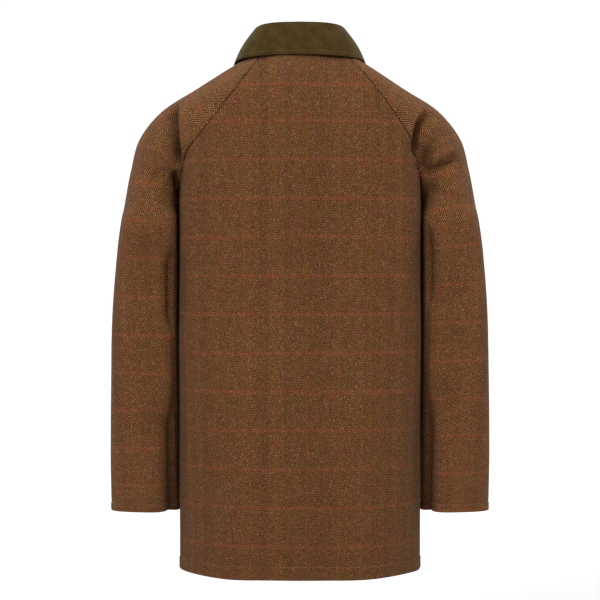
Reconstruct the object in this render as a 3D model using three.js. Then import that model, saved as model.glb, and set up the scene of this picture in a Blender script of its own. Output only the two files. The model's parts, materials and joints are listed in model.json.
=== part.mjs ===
// Tweed jacket with raglan sleeves and a turned-down collar, buttoned up and filled out as it is worn.
// Millimetres. +Z is up, the front faces -Y and the wearer's left is +X.
// The origin is the middle of the neck opening, at the height of the seam at the nape.
// "down" is a distance below the nape, and a "bearing" turns round the body from the middle of the back.
import * as THREE from "three";

// Cloth and seams
const TWEED = 2.6;
const COLLAR_CLOTH = 2.8;
const SEAM_GAP = 0.3;
const ROLL_GAP = 0.7; // between the collar's stand and its fall

// The body's level sections: half the width, the depth behind and before the origin, and how square
// each half is (2 is an ellipse, 4 is nearly a box).
const BODY = [
  { down: 0, half: 78, back: 61, squareBack: 2.3, front: 46, squareFront: 2.1 },
  { down: 15, half: 112, back: 75, squareBack: 2.3, front: 50, squareFront: 2.1 },
  { down: 40, half: 163, back: 92, squareBack: 2.4, front: 62, squareFront: 2.2 },
  { down: 75, half: 199, back: 105, squareBack: 2.6, front: 81, squareFront: 2.4 },
  { down: 120, half: 197, back: 113, squareBack: 3.0, front: 104, squareFront: 2.7 },
  { down: 160, half: 187, back: 116, squareBack: 3.4, front: 118, squareFront: 3.1 },
  { down: 235, half: 187, back: 115, squareBack: 3.6, front: 126, squareFront: 3.3 },
  { down: 400, half: 188, back: 110, squareBack: 3.8, front: 122, squareFront: 3.4 },
  { down: 600, half: 188.5, back: 108, squareBack: 4.0, front: 117, squareFront: 3.5 },
  { down: 800, half: 188.5, back: 107, squareBack: 4.0, front: 114, squareFront: 3.6 },
];
const UNDERARM = 235;
const HEM = 800;

// Below the arms the sections turn to rounded boxes. A box's back is flat for so far from the centre, then
// tilts forwards by so many degrees, and its front likewise backwards.
const BOX = [
  { down: 235, flatBack: 125, tiltBack: 24, flatFront: 112, tiltFront: 28 },
  { down: 400, flatBack: 118, tiltBack: 28, flatFront: 108, tiltFront: 30 },
  { down: 600, flatBack: 107, tiltBack: 37, flatFront: 104, tiltFront: 33 },
  { down: 800, flatBack: 101, tiltBack: 41, flatFront: 102, tiltFront: 35 },
];
const BOX_EASE = [130, 330]; // where the sections turn from round ones to boxes
const BOX_SQUARE = 13; // how tight the boxes' corners are
const BOX_LEAN = 3; // degrees by which their sides lean in towards the back and the front

// The raglan seams: their bearings in degrees, from the neck down to the underarm.
const RAGLAN = [
  { down: 0, back: 54.7, front: 127 },
  { down: 20, back: 48, front: 125 },
  { down: 58, back: 48.6, front: 123 },
  { down: 99, back: 54, front: 121 },
  { down: 136, back: 60.6, front: 117 },
  { down: 165, back: 68, front: 110 },
  { down: 200, back: 76, front: 101.5 },
  { down: UNDERARM, back: 90, front: 90 },
];
const RAGLAN_LEAN = 4.5; // the back seams lean this far towards the wearer's right at the neck
const FRONT_NECK = 22; // where the front raglan seam reaches the neck
const CENTRE_NECK = 74; // where the neckline crosses the centre front
const NECK_DIP = 1.15; // over 1, the neckline reaches that height before the centre

// The sleeve from the underarm (up 0) to the neck (up 1): its ridge over the shoulder, the seam's place
// behind and before, and the handles of the arc between them. A turn of 0 leaves the seam straight
// backwards (or forwards in front), and 90 leaves it sideways.
const YOKE = [
  { up: 0, ridgeX: 274, ridgeY: -13, ridgeDown: 227, backDown: UNDERARM, frontDown: UNDERARM,
    backTurn: 0, backReach: 97, backCrown: 103, frontTurn: 0, frontReach: 92, frontCrown: 92 },
  { up: 0.15, ridgeX: 265, ridgeY: -11.5, ridgeDown: 180, backDown: 198, frontDown: 200,
    backTurn: 42, backReach: 34, backCrown: 72, frontTurn: 40, frontReach: 40, frontCrown: 72 },
  { up: 0.31, ridgeX: 251, ridgeY: -9, ridgeDown: 131, backDown: 160, frontDown: 165,
    backTurn: 100, backReach: 34, backCrown: 58, frontTurn: 92, frontReach: 36, frontCrown: 60 },
  { up: 0.5, ridgeX: 214, ridgeY: -6, ridgeDown: 86.5, backDown: 122, frontDown: 125,
    backTurn: 114, backReach: 42, backCrown: 60, frontTurn: 112, frontReach: 40, frontCrown: 56 },
  { up: 0.69, ridgeX: 163, ridgeY: -4, ridgeDown: 56, backDown: 75, frontDown: 85,
    backTurn: 106, backReach: 38, backCrown: 56, frontTurn: 110, frontReach: 36, frontCrown: 42 },
  { up: 0.94, ridgeX: 95, ridgeY: 0, ridgeDown: 15.5, backDown: 15, frontDown: 36,
    backTurn: 118, backReach: 18, backCrown: 30, frontTurn: 124, frontReach: 16, frontCrown: 24 },
  { up: 1, ridgeX: 79.5, ridgeY: 2, ridgeDown: 8, backDown: 0, frontDown: FRONT_NECK,
    backTurn: 132, backReach: 14, backCrown: 20, frontTurn: 150, frontReach: 12, frontCrown: 20 },
];

// The sleeve's tube from the underarm (along 0) to the cuff (along 1): its outer and inner edges, the depth
// of cloth behind and before the line between them, and how square its sections are on their outer half
// and on the one that hugs the body.
const TUBE = [
  { along: 0, outX: 274, outY: -13, outDown: 227, inX: 187, inY: 0, inDown: UNDERARM,
    back: 75, front: 69, square: 2.6, hug: 3.4 },
  { along: 0.08, outX: 279.5, outY: -13, outDown: 266, inX: 187.9, inY: -8, inDown: 272,
    back: 85, front: 68, square: 3.2, hug: 8 },
  { along: 0.17, outX: 284.3, outY: -13, outDown: 308, inX: 188.5, inY: -10, inDown: 312,
    back: 82, front: 67, square: 3.2, hug: 7 },
  { along: 0.48, outX: 294.6, outY: -17, outDown: 461, inX: 190, inY: -17, inDown: 463,
    back: 65, front: 62, square: 3, hug: 5.5 },
  { along: 0.8, outX: 298.4, outY: -29, outDown: 617, inX: 190.8, inY: -31, inDown: 617,
    back: 52, front: 54, square: 2.6, hug: 4 },
  { along: 1, outX: 298.6, outY: -38, outDown: 713, inX: 191.2, inY: -41, inDown: 713,
    back: 46, front: 50, square: 2.3, hug: 3 },
];
const ROUND_ARC = 4 / 3; // a cubic curve with handles this many times as long as it is deep is that deep
const TUBE_EASE = 0.05; // the sections turn from that curve to flatter ones over this share

// The largest folds, as lines seen from behind (faces 1) or in front (faces -1), between two places given by
// their distance from the centre and below the nape. Side 1 is the wearer's left. A hollow has a depth over 0
// and a ridge under 0. Each line bows outwards (or inwards, under 0), and fades over one width outside it and
// another inside it.
const FOLDS = [
  // under the edge of the shoulder, where the sleeve falls away from the back
  { side: 1, faces: 1, from: [192, 78], to: [180, 188], bow: 1, outside: 24, inside: 12, depth: 9 },
  { side: 1, faces: 1, from: [184, 88], to: [176, 168], bow: 1, outside: 8, inside: 16, depth: -3 },
  { side: -1, faces: 1, from: [203, 90], to: [181, 158], bow: -11, outside: 16, inside: 11, depth: 8 },
  { side: -1, faces: 1, from: [190, 86], to: [170, 156], bow: -10, outside: 7, inside: 16, depth: -3 },
  // where the sleeve is drawn in at the armhole
  { side: 1, faces: 1, from: [190, 182], to: [182, 232], bow: 0, outside: 14, inside: 12, depth: 6 },
  { side: -1, faces: 1, from: [184, 190], to: [246, 162], bow: 0, outside: 9, inside: 9, depth: 5 },
  { side: -1, faces: 1, from: [196, 172], to: [244, 146], bow: 0, outside: 9, inside: 9, depth: -3 },
  // where the sleeves fall away beside the body
  { side: 1, faces: 1, from: [192, 300], to: [192, 446], bow: 0, outside: 16, inside: 12, depth: 8 },
  { side: 1, faces: 1, from: [192, 520], to: [193, 800], bow: 0, outside: 18, inside: 12, depth: 9 },
  { side: -1, faces: 1, from: [192, 262], to: [192, 400], bow: 0, outside: 16, inside: 12, depth: 8 },
  { side: -1, faces: 1, from: [192, 510], to: [193, 800], bow: 0, outside: 16, inside: 12, depth: 9 },
  // the same fall of the cloth in front
  { side: 1, faces: -1, from: [198, 98], to: [186, 178], bow: -3, outside: 18, inside: 10, depth: 6 },
  { side: -1, faces: -1, from: [202, 94], to: [187, 170], bow: -5, outside: 18, inside: 10, depth: 6 },
  // soft hollows across the sleeves
  { side: 1, faces: 1, from: [196, 296], to: [256, 324], bow: 0, outside: 22, inside: 18, depth: 3 },
  { side: 1, faces: 1, from: [196, 560], to: [250, 590], bow: 0, outside: 24, inside: 20, depth: 3 },
  { side: -1, faces: 1, from: [196, 356], to: [252, 386], bow: 0, outside: 24, inside: 18, depth: 3 },
  { side: -1, faces: 1, from: [196, 520], to: [250, 540], bow: 0, outside: 20, inside: 22, depth: 3 },
  { side: 1, faces: -1, from: [200, 420], to: [262, 398], bow: 0, outside: 22, inside: 24, depth: 3 },
  { side: -1, faces: -1, from: [200, 400], to: [262, 384], bow: 0, outside: 22, inside: 24, depth: 3 },
];
const FOLD_FADE = 3.4; // how soon a fold reaches its depth from its ends
const FOLD_FACING = 1.6; // how soon a fold reaches its depth where the cloth turns to face backwards

// The closing: the wearer's left front laps over the right one.
const LAP = 28; // each front runs this far past the centre
const LAP_LIFT = TWEED + 0.7;
const LAP_EASE = [46, 74]; // the left front comes down to the body over this stretch

const BUTTON_RADIUS = 11.5;
const BUTTON_THICK = 4;
const BUTTON_DOWN = [118, 226, 334, 442, 550];
const BUTTON_CLEAR = 0.4;
const BUTTON_ROUND = 1.3; // the rounding of its rim
const BUTTON_RIM = 3; // the width of its raised rim
const BUTTON_DISH = 1.1; // how deep its middle is sunk
const BUTTON_SIDES = 16;

// The collar from the back (along 0) to the centre front (along 1): the top of its roll, and its edge.
const COLLAR = [
  { along: 0, rollX: 0, rollY: 54.5, rollUp: 43, edgeX: 0, edgeY: 77, edgeUp: -10 },
  { along: 0.13, rollX: 33, rollY: 51, rollUp: 42.8, edgeX: 36, edgeY: 75, edgeUp: -10.5 },
  { along: 0.26, rollX: 56, rollY: 38, rollUp: 42, edgeX: 68, edgeY: 67, edgeUp: -11.5 },
  { along: 0.35, rollX: 66, rollY: 22, rollUp: 40, edgeX: 93, edgeY: 42, edgeUp: -12 },
  { along: 0.45, rollX: 70, rollY: 2, rollUp: 35, edgeX: 103, edgeY: 4, edgeUp: -14 },
  { along: 0.55, rollX: 69, rollY: -20, rollUp: 26, edgeX: 103, edgeY: -31, edgeUp: -25 },
  { along: 0.65, rollX: 64, rollY: -42, rollUp: 12, edgeX: 97, edgeY: -60, edgeUp: -44 },
  { along: 0.85, rollX: 37, rollY: -69, rollUp: -22, edgeX: 78, edgeY: -92, edgeUp: -84 },
  { along: 1, rollX: 9, rollY: -79, rollUp: -42, edgeX: 55, edgeY: -108.5, edgeUp: -114 },
];
const ROLL_RADIUS = 5;
const ROLL_TURN = 153; // degrees round the roll before the fall goes straight
const COLLAR_BELLY = 3; // the fall swells this much between its roll and its edge
const BELLY_RISE = 0.4; // and so much upwards for each step outwards
const COLLAR_END = 5; // the collar's ends stop this far from the centre front
const STAND_CLEAR = 0.5;

// How finely the cloth is divided
const YOKE_ROWS = 18;
const BODY_ROWS = 9;
const TUBE_ROWS = 14;
const BACK_COLUMNS = 26;
const FRONT_COLUMNS = 14;
const SLEEVE_COLUMNS = 12;
const CLOSER = 1.25; // over 1, the columns of a sleeve lie closer together towards its seam
const COLLAR_STEPS = 40;
const STAND_COLUMNS = 3;
const ROLL_COLUMNS = 4;
const FALL_COLUMNS = 4;

const FINER = 8; // curves are measured in steps this much finer than their columns

const vec = (x, y, z) => new THREE.Vector3(x, y, z);
const UP = vec(0, 0, 1);
const radians = (degrees) => (degrees * Math.PI) / 180;
const mix = (a, b, share) => a + (b - a) * share;
const clamp = (value) => Math.max(0, Math.min(1, value));
const ease = (value) => clamp(value) ** 2 * (3 - 2 * clamp(value));
const steps = (count) => Array.from({ length: count + 1 }, (_, i) => i / count);

// The value of one column where another column reaches a number, on a smooth curve through the rows.
function read(table, by, at, name) {
  let i = 0;
  while (i < table.length - 2 && at > table[i + 1][by]) i++;
  const slope = (j) => {
    const before = table[Math.max(j - 1, 0)];
    const after = table[Math.min(j + 1, table.length - 1)];
    return (after[name] - before[name]) / (after[by] - before[by]);
  };
  const span = table[i + 1][by] - table[i][by];
  const t = clamp((at - table[i][by]) / span);
  return (
    (1 + 2 * t) * (1 - t) ** 2 * table[i][name] +
    t * (1 - t) ** 2 * span * slope(i) +
    t ** 2 * (3 - 2 * t) * table[i + 1][name] +
    t ** 2 * (t - 1) * span * slope(i + 1)
  );
}

// A point of the body's outer face.
function onBody(bearing, down) {
  const half = read(BODY, "down", down, "half");
  const face = Math.cos(bearing) >= 0 ? "Back" : "Front";
  const depth = read(BODY, "down", down, face.toLowerCase());
  const square = read(BODY, "down", down, "square" + face);
  const [sideways, forwards] = [Math.abs(Math.sin(bearing)), Math.abs(Math.cos(bearing))];
  const round = ((sideways / half) ** square + (forwards / depth) ** square) ** (-1 / square);

  const flat = read(BOX, "down", down, "flat" + face);
  const tilt = radians(read(BOX, "down", down, "tilt" + face));
  const planes = [
    forwards / depth,
    (sideways + forwards * Math.tan(radians(BOX_LEAN))) / half,
    (sideways * Math.sin(tilt) + forwards * Math.cos(tilt)) / (flat * Math.sin(tilt) + depth * Math.cos(tilt)),
  ];
  const box = planes.reduce((sum, plane) => sum + plane ** BOX_SQUARE, 0) ** (-1 / BOX_SQUARE);
  const reach = mix(round, box, ease((down - BOX_EASE[0]) / (BOX_EASE[1] - BOX_EASE[0])));
  return vec(reach * Math.sin(bearing), reach * Math.cos(bearing), -down);
}

// The raglan seam's bearing on one side (1 is the wearer's left) of the back or the front.
function seamBearing(side, name, down) {
  const lean = name === "back" ? -side * RAGLAN_LEAN * (1 - down / UNDERARM) : 0;
  return side * radians(read(RAGLAN, "down", down, name) + lean);
}

// Points along a curve that is given for shares from 0 to 1: evenly spaced, or closer towards its start.
function evenly(curve, count, closer = 1) {
  const fine = steps(count * FINER).map(curve);
  const lengths = [0];
  for (let i = 1; i < fine.length; i++) lengths.push(lengths[i - 1] + fine[i].distanceTo(fine[i - 1]));
  let i = 1;
  return steps(count).map((share) => {
    const at = share ** closer * lengths[lengths.length - 1];
    while (i < fine.length - 1 && lengths[i] < at) i++;
    return fine[i - 1].clone().lerp(fine[i], clamp((at - lengths[i - 1]) / (lengths[i] - lengths[i - 1])));
  });
}

function backRow(down) {
  const left = seamBearing(1, "back", Math.min(down, UNDERARM));
  const right = seamBearing(-1, "back", Math.min(down, UNDERARM));
  return evenly((share) => onBody(mix(left, right, share), down), BACK_COLUMNS);
}

// A row of one front, from its seam to its edge past the centre. Near the neck the row dips to the centre.
function frontRow(side, down) {
  const level = (down - FRONT_NECK) / (UNDERARM - FRONT_NECK);
  const centre = down < UNDERARM ? mix(CENTRE_NECK, UNDERARM, level) : down;
  const from = seamBearing(side, "front", Math.min(down, UNDERARM));
  const overlap = Math.atan(LAP / read(BODY, "down", centre, "front"));
  const to = side * (Math.PI + overlap);
  return evenly((share) => {
    const dip = Math.sin(clamp(share * NECK_DIP) * (Math.PI / 2));
    return onBody(mix(from, to, share), mix(down, centre, dip));
  }, FRONT_COLUMNS);
}

// A row of one half of a sleeve, from its seam or inner edge out to the ridge over the shoulder and arm.
function bend(start, startHandle, endHandle, end) {
  const curve = new THREE.CubicBezierCurve3(start, startHandle, endHandle, end);
  return evenly((share) => curve.getPoint(share), SLEEVE_COLUMNS, CLOSER);
}

function yokeRow(side, name, up) {
  const at = (column) => read(YOKE, "up", up, column);
  const sense = name === "back" ? 1 : -1;
  const down = at(name + "Down");
  const seam = onBody(seamBearing(side, name, down), down);
  const ridge = vec(side * at("ridgeX"), at("ridgeY"), -at("ridgeDown"));
  const turn = radians(at(name + "Turn"));
  const reach = at(name + "Reach");
  const rise = (ridge.z - seam.z) / 3;
  const fromSeam = vec(side * Math.sin(turn) * reach, sense * Math.cos(turn) * reach, rise);
  const fromRidge = vec(0, sense * at(name + "Crown"), 0);
  return bend(seam, seam.clone().add(fromSeam), ridge.clone().add(fromRidge), ridge);
}

function tubeRow(side, name, along) {
  const at = (column) => read(TUBE, "along", along, column);
  const inner = vec(side * at("inX"), at("inY"), -at("inDown"));
  const outer = vec(side * at("outX"), at("outY"), -at("outDown"));
  const depth = vec(0, (name === "back" ? 1 : -1) * at(name), 0);
  const handle = depth.clone().multiplyScalar(ROUND_ARC);
  const round = new THREE.CubicBezierCurve3(inner, inner.clone().add(handle), outer.clone().add(handle), outer);
  const flatness = ease(along / TUBE_EASE);
  return evenly(
    (share) => {
      const power = 2 / at(share < 0.5 ? "hug" : "square");
      const turned = Math.cos(Math.PI * share);
      const across = Math.sign(turned) * Math.abs(turned) ** power;
      const out = Math.sin(Math.PI * share) ** power;
      const flat = inner.clone().lerp(outer, (1 - across) / 2).addScaledVector(depth, out);
      return round.getPoint(share).lerp(flat, flatness);
    },
    SLEEVE_COLUMNS,
    CLOSER,
  );
}

// Rows from the neck to the underarm share their places with the sleeve's rows.
const ups = steps(YOKE_ROWS).reverse();
const levels = (name) => ups.map((up) => (up > 0 ? read(YOKE, "up", up, name + "Down") : UNDERARM));
const below = steps(BODY_ROWS).slice(1).map((share) => mix(UNDERARM, HEM, share));
const alongs = steps(TUBE_ROWS).slice(1);

// Normals of a sheet of points: sense turns them to the outside.
function faceNormals(points, sense) {
  const last = [points.length - 1, points[0].length - 1];
  return points.map((row, r) =>
    row.map((_, c) => {
      const downwards = points[Math.min(r + 1, last[0])][c].clone().sub(points[Math.max(r - 1, 0)][c]);
      const across = row[Math.min(c + 1, last[1])].clone().sub(row[Math.max(c - 1, 0)]);
      return downwards.cross(across).multiplyScalar(sense).normalize();
    }),
  );
}

function sheet(points, sense) {
  return { points, sense, normals: faceNormals(points, sense) };
}

// Moves each point of a sheet along its normal.
function raise(made, amount) {
  made.points.forEach((row, r) =>
    row.forEach((point, c) => point.addScaledVector(made.normals[r][c], amount(point, made.normals[r][c]))),
  );
  made.normals = faceNormals(made.points, made.sense);
}

// How deep the folds are at a point that faces backwards or forwards.
function foldDepth(point, normal) {
  let depth = 0;
  for (const fold of FOLDS) {
    const facing = ease(fold.faces * normal.y * FOLD_FACING);
    if (point.x * fold.side <= 0 || facing === 0) continue;
    const [from, to] = [fold.from, fold.to].map(([x, down]) => new THREE.Vector2(x * fold.side, -down));
    const run = to.sub(from);
    const place = new THREE.Vector2(point.x, point.z).sub(from);
    const share = place.dot(run) / run.lengthSq();
    if (share <= 0 || share >= 1) continue;
    const away = (-fold.side * place.cross(run)) / run.length() - 4 * fold.bow * share * (1 - share);
    const spread = away > 0 ? fold.outside : fold.inside;
    const ends = ease(share * FOLD_FADE) * ease((1 - share) * FOLD_FADE);
    depth += fold.depth * Math.exp(-((away / spread) ** 2)) * facing * ends;
  }
  return depth;
}

const lapLift = (point) => LAP_LIFT * ease((LAP_EASE[1] - point.x) / (LAP_EASE[1] - LAP_EASE[0]));

const sheets = { back: sheet([...levels("back"), ...below].map(backRow), 1) };
for (const [side, word] of [[1, "left"], [-1, "right"]]) {
  const rows = [...levels("front"), ...below].map((down) => frontRow(side, down));
  sheets["front_" + word] = sheet(rows, -side);
  for (const name of ["back", "front"]) {
    const yoke = ups.map((up) => yokeRow(side, name, up));
    const tube = alongs.map((along) => tubeRow(side, name, along));
    sheets["sleeve_" + word + "_" + name] = sheet([...yoke, ...tube], name === "back" ? -side : side);
  }
}

// Where sheets meet, they share one normal, so that their rims lie side by side.
function meet(places, bias = vec(0, 0, 0)) {
  const shared = bias.clone();
  for (const [name, r, c] of places) shared.add(sheets[name].normals[r][c]);
  shared.normalize();
  for (const [name, r, c] of places) sheets[name].normals[r][c] = shared;
}

function join() {
  for (const [word, column] of [["left", 0], ["right", BACK_COLUMNS]]) {
    const front = "front_" + word;
    const [behind, before] = ["_back", "_front"].map((half) => "sleeve_" + word + half);
    for (let r = 0; r < YOKE_ROWS; r++) {
      meet([["back", r, column], [behind, r, 0]]);
      meet([[front, r, 0], [before, r, 0]]);
    }
    const underarm = [["back", column], [front, 0], [behind, 0], [before, 0]];
    meet(underarm.map(([name, c]) => [name, YOKE_ROWS, c]), vec(0, 0, -1));
    for (let r = YOKE_ROWS + 1; r <= YOKE_ROWS + BODY_ROWS; r++) meet([["back", r, column], [front, r, 0]]);
    for (let r = YOKE_ROWS + 1; r <= YOKE_ROWS + TUBE_ROWS; r++) meet([[behind, r, 0], [before, r, 0]]);
    for (let r = 0; r <= YOKE_ROWS + TUBE_ROWS; r++) {
      meet([[behind, r, SLEEVE_COLUMNS], [before, r, SLEEVE_COLUMNS]]);
    }
  }
}

raise(sheets.front_left, lapLift);
join();
for (const made of Object.values(sheets)) raise(made, (point, normal) => -foldDepth(point, normal));
join();

// Draws the ends of each row in by half of a seam's gap.
function part(made, gap) {
  for (const row of made.points) {
    const last = row.length - 1;
    const [first, end] = [row[0].clone(), row[last].clone()];
    row[0].add(row[1].clone().sub(first).setLength(gap / 2));
    row[last].add(row[last - 1].clone().sub(end).setLength(gap / 2));
  }
}

// The closed wall under a sheet: its outer face, its inner face and the rim round them.
function wall({ points, normals, sense }, thick) {
  const [rows, columns] = [points.length, points[0].length];
  const inward = (point, r, c) => point.clone().addScaledVector(normals[r][c], -thick);
  const inner = points.map((row, r) => row.map((point, c) => inward(point, r, c)));
  const positions = [...points.flat(), ...inner.flat()].flatMap((point) => point.toArray());
  const [bottom, right] = [rows - 1, columns - 1];
  const at = (layer, r, c) => (layer * rows + r) * columns + c;
  const index = [];
  const face = (a, b, c, d) => index.push(...(sense > 0 ? [a, b, c, a, c, d] : [a, c, b, a, d, c]));
  for (let r = 0; r < bottom; r++) {
    for (let c = 0; c < right; c++) {
      face(at(0, r, c), at(0, r + 1, c), at(0, r + 1, c + 1), at(0, r, c + 1));
      face(at(1, r, c), at(1, r, c + 1), at(1, r + 1, c + 1), at(1, r + 1, c));
    }
    face(at(0, r, 0), at(1, r, 0), at(1, r + 1, 0), at(0, r + 1, 0));
    face(at(1, r + 1, right), at(1, r, right), at(0, r, right), at(0, r + 1, right));
  }
  for (let c = 0; c < right; c++) {
    face(at(0, 0, c + 1), at(1, 0, c + 1), at(1, 0, c), at(0, 0, c));
    face(at(0, bottom, c), at(1, bottom, c), at(1, bottom, c + 1), at(0, bottom, c + 1));
  }
  const geometry = new THREE.BufferGeometry();
  geometry.setAttribute("position", new THREE.Float32BufferAttribute(positions, 3));
  geometry.setIndex(index);
  return geometry;
}

// The neckline from the back's middle to the centre front on one side, along the panels' own top edges.
function neckline(side) {
  const word = side > 0 ? "left" : "right";
  const back = sheets.back.points[0];
  const middle = BACK_COLUMNS / 2;
  const half = side > 0 ? back.slice(0, middle + 1).reverse() : back.slice(middle);
  const overShoulder = sheets["sleeve_" + word + "_back"].points[0];
  const downShoulder = [...sheets["sleeve_" + word + "_front"].points[0]].reverse();
  const front = sheets["front_" + word].points[0].filter((point) => point.x * side > COLLAR_END);
  return [...half, ...overShoulder.slice(1), ...downShoulder.slice(1), ...front.slice(1)];
}

// The collar's columns at one place round the neck: up the inside of the stand, over the roll and down.
function collarSection(base, side, along) {
  const at = (column) => read(COLLAR, "along", along, column);
  const roll = vec(side * at("rollX"), at("rollY"), at("rollUp"));
  const edge = vec(side * at("edgeX"), at("edgeY"), at("edgeUp"));
  const out = edge.clone().sub(roll).setZ(0).normalize();
  const foot = base.clone().addScaledVector(UP, STAND_CLEAR).addScaledVector(out, -COLLAR_CLOTH);
  const centre = roll.clone().addScaledVector(UP, -ROLL_RADIUS);
  const top = centre.clone().addScaledVector(out, -ROLL_RADIUS);
  const stand = steps(STAND_COLUMNS).map((share) => foot.clone().lerp(top, share));
  const over = steps(ROLL_COLUMNS).map((share) => {
    const angle = radians(ROLL_TURN) * share;
    return centre
      .clone()
      .addScaledVector(out, -ROLL_RADIUS * Math.cos(angle))
      .addScaledVector(UP, ROLL_RADIUS * Math.sin(angle));
  });
  const last = over[ROLL_COLUMNS];
  const swell = out.clone().addScaledVector(UP, BELLY_RISE).normalize();
  const fall = steps(FALL_COLUMNS).slice(1).map((share) =>
    last.clone().lerp(edge, share).addScaledVector(swell, COLLAR_BELLY * Math.sin(Math.PI * share)),
  );
  return { stand, fall: [...over, ...fall] };
}

// Stations from the centre front on the right, round the back, to the centre front on the left.
function collarSections() {
  const made = [];
  for (const side of [-1, 1]) {
    const line = neckline(side);
    const curve = new THREE.CatmullRomCurve3(line, false, "centripetal");
    const round = steps(COLLAR_STEPS / 2).map((along) => collarSection(curve.getPointAt(along), side, along));
    made.push(...(side < 0 ? round.reverse() : round.slice(1)));
  }
  return made;
}

const sections = collarSections();
const stand = sheet(sections.map((section) => section.stand), 1);
const fall = sheet(sections.map((section) => section.fall), 1);
// The stand and the fall meet at the roll, in one plane.
stand.points.forEach((row, r) => {
  const shared = stand.normals[r][STAND_COLUMNS].clone().add(fall.normals[r][0]).normalize();
  stand.normals[r][STAND_COLUMNS] = shared;
  fall.normals[r][0] = shared;
});
[stand, fall].forEach((made) => part(made, ROLL_GAP));

Object.values(sheets).forEach((made) => part(made, SEAM_GAP));

// Buttons
function button() {
  const [rim, dish, sunk] = [BUTTON_RADIUS, BUTTON_RADIUS - BUTTON_RIM, BUTTON_THICK - BUTTON_DISH];
  const profile = [
    [0, 0],
    [rim - BUTTON_ROUND, 0],
    [rim, BUTTON_ROUND],
    [rim, BUTTON_THICK - BUTTON_ROUND],
    [rim - BUTTON_ROUND, BUTTON_THICK],
    [dish, BUTTON_THICK],
    [dish - BUTTON_DISH, sunk],
    [0, sunk],
  ].map(([radius, height]) => new THREE.Vector2(radius, height));
  return new THREE.LatheGeometry(profile, BUTTON_SIDES).rotateX(Math.PI / 2);
}

// A button's place on the left front, and the way it faces.
function buttonPlace(down) {
  const [above, below] = [onBody(Math.PI, down - BUTTON_RADIUS), onBody(Math.PI, down + BUTTON_RADIUS)];
  const outward = above.sub(below).cross(vec(1, 0, 0)).normalize().negate();
  return { outward, point: onBody(Math.PI, down).addScaledVector(outward, LAP_LIFT + BUTTON_CLEAR) };
}

const cloth = { metalness: 0, side: THREE.DoubleSide };
const tweed = new THREE.MeshStandardMaterial({ ...cloth, color: 0x6a462b, roughness: 0.95 });
const moleskin = new THREE.MeshStandardMaterial({ ...cloth, color: 0x4d3e20, roughness: 0.9 });
const horn = new THREE.MeshStandardMaterial({ color: 0x3a2416, roughness: 0.35, metalness: 0 });

const jacket = new THREE.Group();

function add(name, geometry, material) {
  const mesh = new THREE.Mesh(geometry, material);
  mesh.name = name;
  jacket.add(mesh);
  return mesh;
}

for (const [name, made] of Object.entries(sheets)) add(name, wall(made, TWEED), tweed);
add("collar_stand", wall(stand, COLLAR_CLOTH), moleskin);
add("collar_fall", wall(fall, COLLAR_CLOTH), moleskin);

BUTTON_DOWN.forEach((down, i) => {
  const { outward, point } = buttonPlace(down);
  const mesh = add("button_" + (i + 1), button(), horn);
  mesh.position.copy(point);
  mesh.quaternion.setFromUnitVectors(UP, outward);
});

export default jacket;
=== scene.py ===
import json
import math

import bpy
import numpy as np
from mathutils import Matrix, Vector

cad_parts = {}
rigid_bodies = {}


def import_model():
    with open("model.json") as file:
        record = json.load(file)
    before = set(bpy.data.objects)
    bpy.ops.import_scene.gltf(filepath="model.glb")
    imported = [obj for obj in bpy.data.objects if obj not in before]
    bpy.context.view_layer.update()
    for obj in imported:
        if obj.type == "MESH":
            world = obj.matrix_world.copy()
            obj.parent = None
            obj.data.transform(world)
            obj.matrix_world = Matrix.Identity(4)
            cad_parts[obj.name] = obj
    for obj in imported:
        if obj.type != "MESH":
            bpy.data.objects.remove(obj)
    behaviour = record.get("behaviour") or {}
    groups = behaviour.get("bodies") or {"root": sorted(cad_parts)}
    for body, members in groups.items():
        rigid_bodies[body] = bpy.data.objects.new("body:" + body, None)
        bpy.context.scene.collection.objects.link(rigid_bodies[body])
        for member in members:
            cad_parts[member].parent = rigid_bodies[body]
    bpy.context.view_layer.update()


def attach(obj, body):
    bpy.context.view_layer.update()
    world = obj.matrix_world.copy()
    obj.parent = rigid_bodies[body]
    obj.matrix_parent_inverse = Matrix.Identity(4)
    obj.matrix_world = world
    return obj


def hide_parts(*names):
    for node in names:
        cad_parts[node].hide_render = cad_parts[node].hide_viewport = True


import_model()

# A tweed jacket with raglan sleeves and a turned-down moleskin collar, buttoned up and filled out as worn.
# The cloth is worked out in millimetres in the frame of the solids, and MM turns it into metres.
# +Z is up, the front faces -Y and the wearer's left is +X. "down" is a distance below the nape, and a
# "bearing" turns round the body from the middle of the back. Side 1 is the wearer's left, -1 the right.
MM = 0.001


def table(columns, *rows):
    """Rows of numbers under named columns, as one array for each column."""
    return {name: np.array(column, float) for name, column in zip(columns.split(), zip(*rows))}


# Cloth and seams
TWEED = 2.6
COLLAR_CLOTH = 2.8
SEAM_GAP = 0.3
ROLL_GAP = 0.7  # between the collar's stand and its fall

# The body's level sections: half the width, the depths behind and before, and how square each half is
BODY = table(
    "down half back square_back front square_front",
    (0, 78, 61, 2.3, 46, 2.1),
    (15, 112, 75, 2.3, 50, 2.1),
    (40, 163, 92, 2.4, 62, 2.2),
    (75, 199, 105, 2.6, 81, 2.4),
    (120, 197, 113, 3.0, 104, 2.7),
    (160, 187, 116, 3.4, 118, 3.1),
    (235, 187, 115, 3.6, 126, 3.3),
    (400, 188, 110, 3.8, 122, 3.4),
    (600, 188.5, 108, 4.0, 117, 3.5),
    (800, 188.5, 107, 4.0, 114, 3.6),
)
UNDERARM = 235
HEM = 800

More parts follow.
